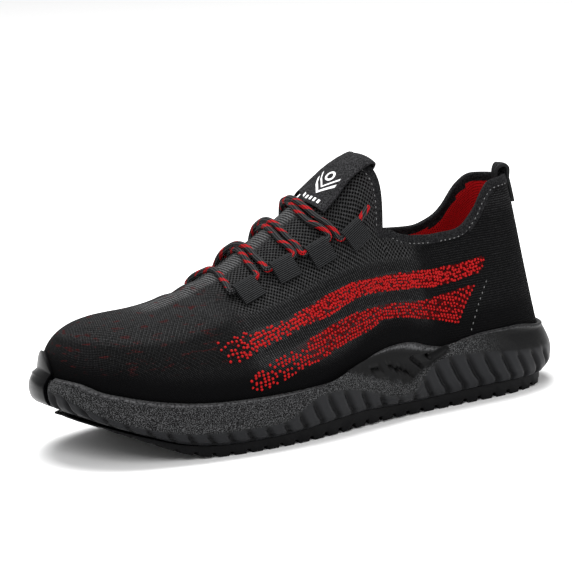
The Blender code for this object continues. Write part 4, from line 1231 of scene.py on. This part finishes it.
@dataclass
class CupSole:
    """Foam cup with ribs, grained band, waist panel and rim bead."""

    last: Last
    ribs: int = 66
    steps: int = 16
    rib_depth: float = 0.0017
    slant: float = 0.60
    lip: float = 0.0011
    panel_depth: float = 0.0007
    gap: float = 0.0003
    rim_wall: float = 0.0020
    guard_width: float = 0.034
    guard_shift: float = 0.013
    guard_wall: float = 0.0018
    guard_dip: float = 0.0022
    guard_ease: float = 0.0010
    outsole_inset: float = 0.0060
    slit_depth: float = 0.0016
    border_depth: float = 0.0005
    bead_rise: float = 0.00045
    # Places of the rings between the wall's rows: first, last and count of each stretch
    LEVELS = ((0, 1, 4), (1, 4, 17), (4, 6.55, 13), (6.55, 7, 6))
    # Lower edge of the waist panel and its slits, seen from the side, in millimetres
    PANEL = ((-3, 31.5), (35, 18.5), (63, 30.5))
    SLITS = (((13, 29.5), (18.5, 29)), ((23.5, 30), (30, 26.5)), ((32, 26.5), (38, 22.8)),
             ((40, 30), (45, 25.5)), ((50, 30), (51, 28.8)))

    def guard_distance(self, round_: Array) -> Array:
        """Distance along the sole's line from the end of the toe guard, below 0 behind it."""
        turned = np.mod(round_ + self.guard_shift / self.last.around + 0.5, 1) - 0.5
        return np.abs(turned) * self.last.around - self.guard_width / 2

    def guard_mask(self, round_: Array) -> Array:
        """1 behind the toe guard, 0 away from it."""
        return 1 - smooth((self.guard_distance(round_) - self.gap) / 0.003)

    def rows(self, round_: Array) -> Array:
        """Rows of the outer wall: height, inset, groove depth, lean and how far the guard is let in."""
        last = self.last
        x = last.point(round_)[:, 0]
        seam, ribs, rim = (last.height(line, x) for line in (Line.SEAM, Line.RIBS, Line.RIM))
        shoulder = column(last.FEATHER, 1, last.along(x)) - self.rim_wall - self.gap
        heel = smooth((last.along(x) - 0.80) / 0.15)
        tall, band, zero = ribs - seam, rim - ribs, 0 * x
        return np.array((
            (seam, self.outsole_inset - 0.0008 + zero, zero, zero, zero + 1.0),
            (seam + self.lip, 0.0034 + zero, zero + 0.8, zero, zero + 1.0),
            (seam + 0.38 * tall, 0.0012 - 0.0007 * heel, zero + 1.0, zero + 1, zero + 1.0),
            (seam + 0.74 * tall, 0.0002 + zero, zero + 1.0, zero + 1, zero + 1.0),
            (ribs, 0.0006 * heel, zero + 0.2, zero + 1, zero + 1.0),
            (ribs + 0.45 * band, (0.22 + 0.24 * heel) * shoulder, zero, zero + 1, zero + 0.8),
            (ribs + 0.82 * band, (0.66 + 0.16 * heel) * shoulder, zero, zero + 1, zero + 0.5),
            (rim, shoulder, zero, zero, zero),
        ))

    @staticmethod
    def between(rows: Array, at: float) -> Array:
        """Smooth values between the wall's rows.

        Args:
            rows: The rows, each with its five values.
            at: Row number with a share.

        Returns:
            The five values at that place.
        """
        k = min(int(at), len(rows) - 2)
        leave = 0.5 * (rows[k + 1] - rows[k - 1]) if k > 0 else rows[1] - rows[0]
        arrive = 0.5 * (rows[k + 2] - rows[k]) if k + 2 < len(rows) else rows[-1] - rows[-2]
        return hermite(rows[k], rows[k + 1], leave, arrive, at - k)

    def build(self) -> None:
        """Makes the cup sole."""
        last = self.last
        count = self.ribs * self.steps
        base = last.even_rounds(count)
        phase = (np.arange(count) / self.steps + 0.5) % 1 - 0.5
        groove = fall(phase, 0.155)
        dome = 0.10 * np.sin(np.pi * np.abs(phase) * 2 - np.pi / 2) + 0.10
        way = np.clip(4 * np.sin(2 * np.pi * base), -1, 1)
        way = way * smooth((self.guard_distance(base) - 0.004) / 0.020)
        x = last.point(base)[:, 0]
        seam = last.height(Line.SEAM, x)
        dip = self.guard_dip * self.guard_mask(base)
        table = self.rows(base)
        levels = np.unique(np.concatenate([np.linspace(*span) for span in self.LEVELS]))
        rings, fields = [], {"rib": [], "grain": [], "bead": [], "cut": []}
        for level in levels:
            height, inset, depth, lean, let_in = self.between(table, level)
            depth, lean, let_in = (np.clip(value, 0, 1) for value in (depth, lean, let_in))
            round_ = base - way * self.slant * (height - seam) / last.around * lean
            guard = self.guard_mask(round_) * (let_in * (self.guard_wall + self.gap) + self.guard_ease)
            scallop = self.lip * 0.7 * groove * fall(level - 1.0, 0.8)
            # The bead's mask raises the bead and also carries its painted highlight
            bead = fall(level - 6.80, 0.16) * (1 - self.guard_mask(round_))
            rib = self.rib_depth * (groove * 1.1 + dome * 0.5)
            place = last.inside(round_, inset + depth * rib + guard)
            z = height + scallop - dip * smooth(level - 6)
            panel, slit, border = self.panel(place[:, 0] / MM, z / MM, level)
            inward = self.panel_depth * 1.2 * panel + self.slit_depth * slit + self.border_depth * border
            inward = inward - self.bead_rise * bead * (1 - panel)
            place = place - last.normal(round_) * inward[:, None]
            rings.append(np.column_stack((place, z)))
            # Lighter tint on the ribbed part, with painted shade in the grooves between the ribs
            fields["rib"].append(np.full(count, 1.0 if level <= 4.0 else 0.0) * (1 - groove * 0.95))
            band = smooth((level - 3.95) / 0.35) * (1 - smooth((level - 6.6) / 0.1))
            heel_fade = 1 - 0.95 * smooth((last.along(place[:, 0]) - 0.74) / 0.10)
            fields["grain"].append(band * (1 - panel) * heel_fade)
            # Painted highlight on the bead, weaker towards the heel
            fields["bead"].append(bead * (0.5 + 0.5 * heel_fade))
            # Painted shade in the slits and along the panel's border groove
            fields["cut"].append(np.maximum(slit, 0.9 * border))
        foot = last.feather(base) + last.normal(base) * self.gap
        outer = rings[-1][:, :2]
        rim = last.height(Line.RIM, x) - dip
        for share in (0.25, 0.5, 0.75, 1.0):
            swell = 0.0004 * math.sin(math.pi * share) * (1 - self.guard_mask(base))
            rings.append(np.column_stack((outer + (foot - outer) * share, rim + swell)))
            # The flat top of the rim gets a weaker painted highlight, the bead's key set to 0.35
            for key, value in (("rib", 0.0), ("grain", 0.0), ("bead", 0.35), ("cut", 0.0)):
                fields[key].append(np.full(count, value))
        rings.append(np.column_stack((foot, last.cup_height(base))))
        for key in fields:
            fields[key].append(np.zeros(count))
        faces = Maker.grid(len(rings), count, closed=True)
        for start in (0, (len(rings) - 1) * count):
            faces += [(start + k, start + k + 1, start + (count - k - 1) % count, start + (count - k) % count)
                      for k in range(count // 2)]
        made = Maker.mesh("ribbed_cup_sole", np.vstack(rings), faces, [SOLE], None,
                          {key: np.concatenate(value) for key, value in fields.items()})
        made.data.set_sharp_from_angle(angle=math.radians(60))
        Maker.fit(made, "sole", "midsole")

    def panel(self, x: Array, z: Array, level: float) -> tuple[Array, Array, Array]:
        """How far a place is in the smooth waist panel, in one of its slits, and on its border."""
        ends = np.minimum(x - self.PANEL[0][0], self.PANEL[-1][0] - x)
        depth = np.minimum(z - np.interp(x, *zip(*self.PANEL)), ends)
        above = float(level > 2.0)
        inside = smooth((depth + 0.4) / 0.8) * above
        near = np.min([off_path(x, z, slit) for slit in self.SLITS], axis=0)
        return inside, (1 - smooth((near - 0.45) / 0.6)) * inside, fall(depth, 0.45) * above


@dataclass
class ToeGuard:
    """Glossy rubber bumper over the tip of the toe."""

    last: Last
    sole: CupSole
    rise: float = 0.0082

    def build(self) -> None:
        """Makes the guard from the wall of the sole and the foot of the upper."""
        last, sole = self.last, self.sole
        spread = np.linspace(-0.5, 0.5, 41)
        rounds = (spread * sole.guard_width - sole.guard_shift) / last.around
        table, rows = sole.rows(rounds), []
        for level in np.linspace(1, 7, 19):
            height, inset, _, _, let_in = sole.between(table, level)
            inset = inset - (1 - np.clip(let_in, 0, 1)) * (sole.guard_wall + sole.gap)
            rows.append(np.column_stack((last.inside(rounds, inset), height)))
        rim = last.height(Line.RIM, last.point(rounds)[:, 0])
        crest = self.rise * (1 - (2 * np.abs(spread)) ** 2.2)
        for share in np.linspace(0, 1, 6):
            rise = (np.maximum(crest, sole.gap) + sole.gap) * share
            climb = last.climb_at(rounds, rim + sole.guard_wall + rise)
            rows.append(last.arch(rounds, climb) + last.out(rounds, climb) * (sole.gap + sole.guard_wall))
        made = Maker.mesh("toe_bumper", np.vstack(rows), Maker.grid(len(rows), len(spread)), [GUARD])
        Maker.modifier(made, "SOLIDIFY", thickness=sole.guard_wall, offset=-1, use_even_offset=True)
        Maker.soften(made, 0.0006, 50, segments=3)
        Maker.fit(made, "guard", "toe_guard")


class Tread:
    """Tread layer with its lugs, edges softened."""

    def build(self, frame: dict) -> None:
        """Copies the layer, merges it and rounds its edges."""
        source = frame["nodes"]["outsole"]
        mesh = source.data.copy()
        work = bmesh.new()
        work.from_mesh(mesh)
        bmesh.ops.remove_doubles(work, verts=work.verts, dist=1e-5)
        bmesh.ops.dissolve_limit(work, angle_limit=math.radians(1.0), verts=work.verts, edges=work.edges)
        work.to_mesh(mesh)
        work.free()
        mesh.materials.clear()
        mesh.materials.append(TREAD.make())
        mesh.shade_smooth()
        made = Maker.show("lugged_tread", mesh)
        Maker.soften(made, 0.00035, 25, sharp=45)
        Maker.fit(made, "tread", "outsole")


# ------------------------------------------------------------------ trim


@dataclass
class Throat:
    """Lace loops along both sides of the throat and the lace that runs through them."""

    last: Last
    skin: BVHTree
    lace: float = 0.0033
    lift: float = 0.0006
    clear: float = 0.0009
    spread: float = 0.0013
    cross: float = 0.28
    press: float = 0.0011
    length: float = 0.0120
    reach: float = 0.0125
    wall: float = 0.0007
    gap: float = 0.0003
    swell: float = 0.0004
    braid_sides: int = 12
    strand_steps: int = 25
    # The loops, from the toe: place along the throat and share of the way down, outer and inner, and slip
    PLACES = ((0.362, 0.376, 0.430, 0.55, -0.0050), (0.432, 0.446, 0.465, 0.58, -0.0028),
              (0.497, 0.510, 0.535, 0.63, 0.0008), (0.562, 0.574, 0.605, 0.68, 0.0060))

    # The free end beside the top outer loop: steps on from the loop and how far they rise
    STUB = ((0.0105, 0.0012), (0.0080, 0.0014), (0.0055, 0.0010))

    def place(self, x: float, side: Side) -> Array:
        """Place on the upper where the loops are sewn."""
        rows, last = np.array(self.PLACES), self.last
        out = np.interp(last.along(x), rows[:, side.value], rows[:, 2 + side.value])
        middle = last.throat_shift(x)
        edge = last.feather(last.throat_round(x, side))[1]
        return last.over_throat(x, middle + (edge - middle) * out, 0.0)

    def axes(self, row: int, side: Side) -> tuple[Array, Array, Array, Array]:
        """Middle of a loop with its axes along the throat, down the side and outwards."""
        x = (self.PLACES[row][side.value] - 0.5) * self.last.size.length
        origin = self.place(x, side)
        way = self.place(x + 0.003, side) - self.place(x - 0.003, side)
        way /= np.linalg.norm(way)
        out = (self.last.over_throat(x, origin[1], 0.001) - self.last.over_throat(x, origin[1], 0.0)) / 0.001
        down = np.cross(out, way)
        down *= -np.sign(down[2]) / np.linalg.norm(down)
        out = np.cross(down, way)
        out *= np.sign(out[2])
        return origin, way, down, out

    def seat(self, row: int, side: Side, spots: Array) -> Array:
        """How far the upper stands out under a loop, at places down the side from its middle."""
        origin, way, down, out = self.axes(row, side)
        near = self.last.throat_round(origin[0], side) + np.linspace(-0.02, 0.02, 21)
        skin = self.last.arch(near[:, None], np.linspace(0.2, 1, 240)[None, :]).reshape(-1, 3) - origin
        skin = skin[np.abs(skin @ way) < self.length / 2 + self.gap]
        run, rise = skin @ down, skin @ out
        misses = [np.abs(run - spot) for spot in spots]
        return np.array([rise[miss <= max(2 * self.gap, miss.min())].max() for miss in misses])

    def hole(self, row: int, side: Side, end: float) -> Array:
        """Centre of a loop's hole, at its toe end (-1), middle (0) or heel end (1)."""
        origin, way, _, out = self.axes(row, side)
        radius = self.lace / 2 + self.gap + self.wall
        seat = max(self.seat(row, side, np.linspace(-radius, radius, 5)))
        return origin + out * (seat + radius + self.gap) + way * end * self.length / 2

    def build_loops(self) -> None:
        """Makes the eight ribbed tabs."""
        for row in range(len(self.PLACES)):
            for side in Side:
                self.loop(row, side)

    def loop(self, row: int, side: Side) -> None:
        """Folded webbing tab: a ribbed band round the lace with a flat tail down the side."""
        origin, way, down, out = self.axes(row, side)
        centre = self.hole(row, side, 0)
        hole = self.lace / 2 + self.gap
        radius = hole + self.wall
        tail = self.reach - radius
        spots = np.array((0.5, 0.8, 1.0)) * tail
        seat = self.seat(row, side, spots) + 1.5 * self.gap - (centre - origin) @ out
        turns = np.radians(np.linspace(-20, 180, 25))
        arc = np.column_stack((-radius * np.sin(turns), radius * np.cos(turns)))
        tip = np.array((tail, seat[-1] + 1.4 * self.wall))
        shares = np.linspace(0, 1, 22)[:-1, None]
        top = tip + (arc[0] - tip) * shares + np.sin(np.pi * shares) * np.array((0.0, self.swell))
        outer = np.vstack((top, arc))
        run = run_along(outer)
        loop = np.vstack((outer, np.column_stack((spots, seat))))
        turned = np.radians(np.arange(0, 360, 20))
        inner = np.column_stack((hole * np.cos(turned), hole * np.sin(turned)))
        work = bmesh.new()
        rings = []
        for shape in (loop, inner):
            verts = [work.verts.new(centre + down * u + out * v - way * self.length / 2) for u, v in shape]
            rings.append([work.edges.new((verts[k], verts[(k + 1) % len(verts)])) for k in range(len(verts))])
        filled = bmesh.ops.triangle_fill(work, edges=rings[0] + rings[1], use_beauty=True)
        flat = [f for f in filled["geom"] if isinstance(f, bmesh.types.BMFace)]
        grown = bmesh.ops.extrude_face_region(work, geom=flat)
        moved = [v for v in grown["geom"] if isinstance(v, bmesh.types.BMVert)]
        bmesh.ops.translate(work, verts=moved, vec=way * self.length)
        bmesh.ops.recalc_face_normals(work, faces=work.faces)
        name = f"webbing_loop_{side.name.lower()}_{row + 1}"
        mesh = bpy.data.meshes.new(name)
        work.to_mesh(mesh)
        work.free()
        layer = mesh.uv_layers.new(name="web")
        for corner in mesh.loops:
            local = np.array(mesh.vertices[corner.vertex_index].co) - centre
            spot = np.array((local @ down, local @ out))
            k = int(np.argmin(np.linalg.norm(outer - spot, axis=1)))
            layer.data[corner.index].uv = (local @ way, run[k])
        mesh.materials.append(WEBBING.make())
        mesh.shade_smooth()
        made = Maker.show(name, mesh)
        Maker.soften(made, 0.00025, 50, sharp=50)
        Maker.fit(made, "webbing", f"lace_loop_{side.name.lower()}_{row + 1}")

    def strand(self, start: Array, stop: Array, lift: float, slip: float, peak: float = 0.5) -> Array:
        """Path of the lace across the throat.

        Args:
            start: Where it leaves one loop.
            stop: Where it enters another.
            lift: How far it is lifted over another strand.
            slip: How far it slips to the toe.
            peak: Share of the way at which it is lifted most.

        Returns:
            The path.
        """
        over = self.lace / 2 + self.lift - self.press
        misses = [end - self.last.over_throat(end[0], end[1], over) for end in (start, stop)]
        points = []
        for s in np.linspace(0, 1, self.strand_steps):
            x, y = (start + (stop - start) * s)[:2]
            x -= slip * math.sin(math.pi * s)
            fades = [1 - smooth(share / 0.3) for share in (s, 1 - s)]
            raised = lift * math.sin(math.pi * s ** (math.log(0.5) / math.log(peak))) ** 2
            point = self.last.over_throat(x, y, over + raised)
            points.append(point + misses[0] * fades[0] + misses[1] * fades[1])
        return np.array(points)

    def rest(self, near: Array) -> Array:
        """Middle of the lace where it lies on the knit nearest to a place."""
        hit, normal, _, _ = self.skin.find_nearest(Vector(near))
        normal = normal if normal.y * hit.y > 0 else -normal
        return np.array(hit + normal * (self.lace / 2 + 0.0002))

    def exit(self, row: int, side: Side, end: float) -> Array:
        """Where the lace leaves a loop."""
        return self.hole(row, side, end) + self.axes(row, side)[1] * end * (self.clear + self.lace / 2)

    def route(self) -> Array:
        """The whole way of the lace, from one top loop down to the bar and up to the other."""
        slips, outer, inner = [place[-1] for place in self.PLACES], Side.OUTER, Side.INNER
        high = self.lace * 0.62

        def through(row: int, side: Side, first: float) -> Array:
            """Way through one loop."""
            return np.array([self.hole(row, side, end) for end in np.linspace(first, -first, 5)])

        def low_way(k: int) -> Array:
            """Strand that lies on the knit."""
            return self.strand(self.exit(k, outer, 1), self.exit(k + 1, inner, -1), 0.0,
                               slips[k + 1] + self.spread)

        def high_way(k: int) -> Array:
            """Strand that crosses over it."""
            return self.strand(self.exit(k, inner, 1), self.exit(k + 1, outer, -1), high,
                               slips[k + 1] - self.spread, self.cross)

        bar = self.strand(self.exit(0, outer, -1), self.exit(0, inner, -1), 0.0, slips[0])
        end, way = self.hole(3, outer, 1), self.axes(3, outer)[1]
        stub = np.array([self.rest(end + way * step + np.array((0, 0, rise))) for step, rise in self.STUB])
        return np.vstack((
            stub, through(3, outer, 1), high_way(2)[::-1], through(2, inner, 1), low_way(1)[::-1],
            through(1, outer, 1), high_way(0)[::-1], through(0, inner, 1), bar[::-1], through(0, outer, -1),
            low_way(0), through(1, inner, -1), high_way(1), through(2, outer, -1), low_way(2),
            through(3, inner, -1)))

    def build_lace(self) -> None:
        """Makes the lace as one braided tube."""
        raw = self.route()
        run = run_along(raw)
        at = np.arange(0, run[-1], MM)
        path = np.stack([np.interp(at, run, raw[:, k]) for k in range(3)], -1)
        for _ in range(3):
            path[1:-1] = 0.25 * path[:-2] + 0.5 * path[1:-1] + 0.25 * path[2:]
        sides, radius = self.braid_sides, self.lace / 2
        way = np.gradient(path, axis=0)
        way /= np.linalg.norm(way, axis=1, keepdims=True)
        normal = np.cross(way[0], (0, 0, 1.0))
        rings, uvs, length = [], [], run_along(path)
        turns = np.linspace(0, 2 * np.pi, sides + 1)
        for k, (p, w) in enumerate(zip(path, way)):
            normal = normal - w * (normal @ w)
            normal /= np.linalg.norm(normal)
            other = np.cross(w, normal)
            end = min(length[k], length[-1] - length[k]) / radius
            r = radius * math.sqrt(max(1 - max(1 - end, 0) ** 2, 0.02))
            rings.append(p + r * (np.outer(np.cos(turns), normal) + np.outer(np.sin(turns), other)))
            uvs.append(np.column_stack((np.full(sides + 1, length[k]), turns * radius)))
        faces = Maker.grid(len(rings), sides + 1)
        start = (len(rings) - 1) * (sides + 1)
        faces += [tuple(range(sides)), tuple(start + k for k in range(sides))]
        made = Maker.mesh("braided_lace", np.vstack(rings), faces, [LACE], {"braid": np.vstack(uvs)})
        Maker.fit(made, "lace", "lace_bar", "lace_crossing_1", "lace_crossing_2", "lace_crossing_3")


@dataclass
class TongueLabel:
    """Strap that lies on the top of the tongue and is folded over its edge."""

    last: Last
    width: float = 0.029
    shift: float = 0.0010
    length: float = 0.0248
    tuck: float = 0.014
    wall: float = 0.0013
    gap: float = 0.0011
    stand: float = 0.0012
    narrowing: float = 0.85
    sink: float = 0.0020
    knit: float = 0.0023

    def edge(self, y: float) -> float:
        """Share of the side at which the tongue's free edge passes the given Y."""
        last, rises = self.last, np.linspace(0, 1, 60)
        side = Side.INNER if y > last.ridge(last.size.tongue_round)[1] else Side.OUTER
        line = last.arch(*last.tongue_edge(side, rises))
        order = np.argsort(line[:, 1])
        return float(np.interp(y, line[order, 1], last.tongue_share(rises)[order]))

    def over(self, share: float, y: float, lift: float) -> Array:
        """Place on one arch at the given Y."""
        side = Side.INNER if y > self.last.ridge(share)[1] else Side.OUTER
        return self.last.over_arch(self.last.side(share, side), y, lift)

    def build(self) -> None:
        """Makes the strap."""
        size = self.last.size.length
        spread = np.linspace(-0.5, 0.5, 19)
        ys = self.shift + spread * self.width
        edges = [self.edge(y) for y in ys]
        stand = self.stand * smooth(-2 * spread)
        rows = [[self.over(edge - self.length / size * back, y, self.gap + off)
                 for edge, y, off in zip(edges, ys, stand)] for back in np.linspace(1, 0, 16)]
        under = self.knit + 2 * self.gap
        fold = []
        for edge, y, off in zip(edges, ys, stand):
            skin, behind = self.over(edge, y, 0.0), self.over(edge - self.tuck / size / 4, y, 0.0)
            way = (skin - behind) / np.linalg.norm(skin - behind)
            out = self.over(edge, y, 1.0) - skin
            fold.append((skin - out * self.knit / 2, way, out * (1 + off / under)))
        for angle in np.radians((22, 45, 68, 90, 112, 135, 158)):
            rise, reach = under / 2 * math.cos(angle), (under / 2 + 0.0003) * math.sin(angle)
            rows.append([middle + out * rise + way * reach for middle, way, out in fold])
        for back in np.linspace(0, self.tuck / size, 7)[1:]:
            rows.append([self.over(edge - back, y * self.narrowing, -(self.knit + self.gap) - self.sink)
                         for edge, y in zip(edges, ys)])
        rows = np.array(rows)
        across, run = (spread * self.width)[None, :], run_along(rows[:, len(spread) // 2])[:, None]
        uv = np.stack(np.broadcast_arrays(across, run), -1).reshape(-1, 2)
        made = Maker.mesh("tongue_strap", rows.reshape(-1, 3), Maker.grid(*rows.shape[:2]), [LABEL],
                          {"web": uv})
        Maker.modifier(made, "SOLIDIFY", thickness=self.wall, offset=1, use_even_offset=True)
        Maker.soften(made, 0.0003, 50, sharp=60)
        Maker.fit(made, "label", "tongue_label")


@dataclass
class PullLoop:
    """Webbing loop at the heel, from the outside over the collar to the inside."""

    last: Last
    width: float = 0.0115
    wall: float = 0.0015
    rise: float = 0.0072
    bulge: float = 0.0016
    gap: float = 0.0003
    knit: float = 0.0023

    def build(self) -> None:
        """Makes the loop."""
        last = self.last
        spots = np.linspace(-self.width / 2, self.width / 2, 11)
        heel = last.heel
        edge = last.climb_at(heel, last.collar(heel))
        lift = 2 * self.gap + self.wall / 2
        crest = last.ridge(1.0)
        outside, inside = [], []
        for climb in np.linspace(edge * 0.80, edge * 0.97, 10):
            spread = (last.arch(heel, climb)[0] - crest[0]) / (last.feather(heel)[0] - crest[0])
            rounds = heel - spots / last.around / spread
            skin, out = last.arch(rounds, climb), last.out(rounds, climb)
            outside.append(skin + out * lift)
            inside.append(skin - out * (self.knit + lift + 3 * self.gap))
        rows = list(outside)
        middle, half = (outside[-1] + inside[-1]) / 2, (outside[-1] - inside[-1]) / 2
        reach = np.linalg.norm(half, axis=1, keepdims=True)
        for angle in np.radians(np.linspace(0, 180, 17)[1:-1]):
            span = half / reach * (reach + self.bulge * math.sin(angle)) * math.cos(angle)
            rows.append(middle + span + np.array((0, 0, self.rise * math.sin(angle) ** 0.7)))
        rows = np.array(rows + inside[::-1])
        run = run_along(rows[:, len(spots) // 2])
        uv = np.stack(np.broadcast_arrays(run[:, None], spots[None, :]), -1).reshape(-1, 2)
        made = Maker.mesh("heel_pull_loop", rows.reshape(-1, 3), Maker.grid(*rows.shape[:2]), [WEBBING],
                          {"web": uv})
        Maker.modifier(made, "SOLIDIFY", thickness=self.wall, offset=0, use_even_offset=False)
        Maker.soften(made, 0.0003, 50, sharp=60)
        Maker.fit(made, "webbing", "pull_loop")


# ------------------------------------------------------------------ photo set


@dataclass
class PhotoSet:
    """Pale floor, soft studio lights and the camera at the photo's angle."""

    azimuth: float = -33.5
    elevation: float = 12.3
    roll: float = 2.0
    away: float = 2.4
    target: tuple[float, float, float] = (-0.0061, 0.0, 0.0669)
    lens: float = 303.1
    half_floor: float = 4.0
    sky: float = 0.50
    paper: float = 0.93
    # Place, size and power of each soft box
    LAMPS = {"key_box": ((-0.75, -0.85, 1.05), 0.7, 10), "top_box": ((0.05, 0.34, 1.25), 0.9, 26),
             "fill_box": ((0.95, -0.95, 0.55), 0.7, 6)}

    def camera(self) -> None:
        """Sets the camera."""
        a, e, r = (math.radians(v) for v in (self.azimuth, self.elevation, self.roll))
        back = Vector((math.sin(a) * math.cos(e), -math.cos(a) * math.cos(e), math.sin(e)))
        right = Vector((math.cos(a), math.sin(a), 0))
        up = back.cross(right)
        u, v = right * math.cos(r) - up * math.sin(r), right * math.sin(r) + up * math.cos(r)
        data = bpy.data.cameras.new("camera")
        data.lens, data.sensor_width, data.clip_end = self.lens, 36.0, 20.0
        made = Maker.show("camera", data)
        made.matrix_world = Matrix.Translation(Vector(self.target) + back * self.away) @ Matrix(
            (u, v, back)).transposed().to_4x4()
        bpy.context.scene.camera = made

    def lamp(self, name: str, place: tuple, size: float, power: float) -> None:
        """Square soft box that faces the shoe."""
        data = bpy.data.lights.new(name, "AREA")
        data.size, data.energy = size, power
        made = Maker.show(name, data)
        made.location = place
        made.rotation_euler = (Vector((0, 0, 0.05)) - Vector(place)).to_track_quat("-Z", "Y").to_euler()

    def build(self) -> None:
        """Sets up the floor, the lights and the sky."""
        mesh, half = bpy.data.meshes.new("floor"), self.half_floor
        corners = ((-half, -half, 0), (half, -half, 0), (half, half, 0), (-half, half, 0))
        mesh.from_pydata(corners, [], [(0, 1, 2, 3)])
        paper = bpy.data.materials.new("white_paper")
        paper.use_nodes = True
        shader = paper.node_tree.nodes["Principled BSDF"]
        shader.inputs["Base Color"].default_value = (self.paper, self.paper, self.paper, 1)
        shader.inputs["Roughness"].default_value = 0.9
        shader.inputs["Specular IOR Level"].default_value = 0.1
        mesh.materials.append(paper)
        floor = Maker.show("floor", mesh)
        world = bpy.data.worlds.new("sky")
        world.use_nodes = True
        sky = world.node_tree.nodes["Background"]
        sky.inputs["Color"].default_value = (1, 1, 1, 1)
        sky.inputs["Strength"].default_value = self.sky
        bpy.context.scene.world = world
        for name, (place, size, power) in self.LAMPS.items():
            self.lamp(name, place, size, power)
        bpy.context.scene.view_settings.view_transform = "Standard"
        bpy.context.scene.view_settings.look = "None"
        self.camera()


def main() -> None:
    """Builds the shoe on its frame."""
    logging.basicConfig(level=logging.INFO, format="%(message)s")
    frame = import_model()
    last = Last(LastSizes())
    PhotoSet().build()
    sole = CupSole(last)
    sole.build()
    ToeGuard(last, sole).build()
    Tread().build(frame)
    upper = Upper(last)
    skin = upper.build()
    upper.bobbles(skin)
    upper.stitches(skin)
    throat = Throat(last, skin)
    throat.build_loops()
    throat.build_lace()
    TongueLabel(last).build()
    PullLoop(last).build()
    footbed = frame["nodes"]["insole"]
    footbed.data.materials.clear()
    footbed.data.materials.append(FOOTBED.make())


if __name__ == "__main__":
    main()
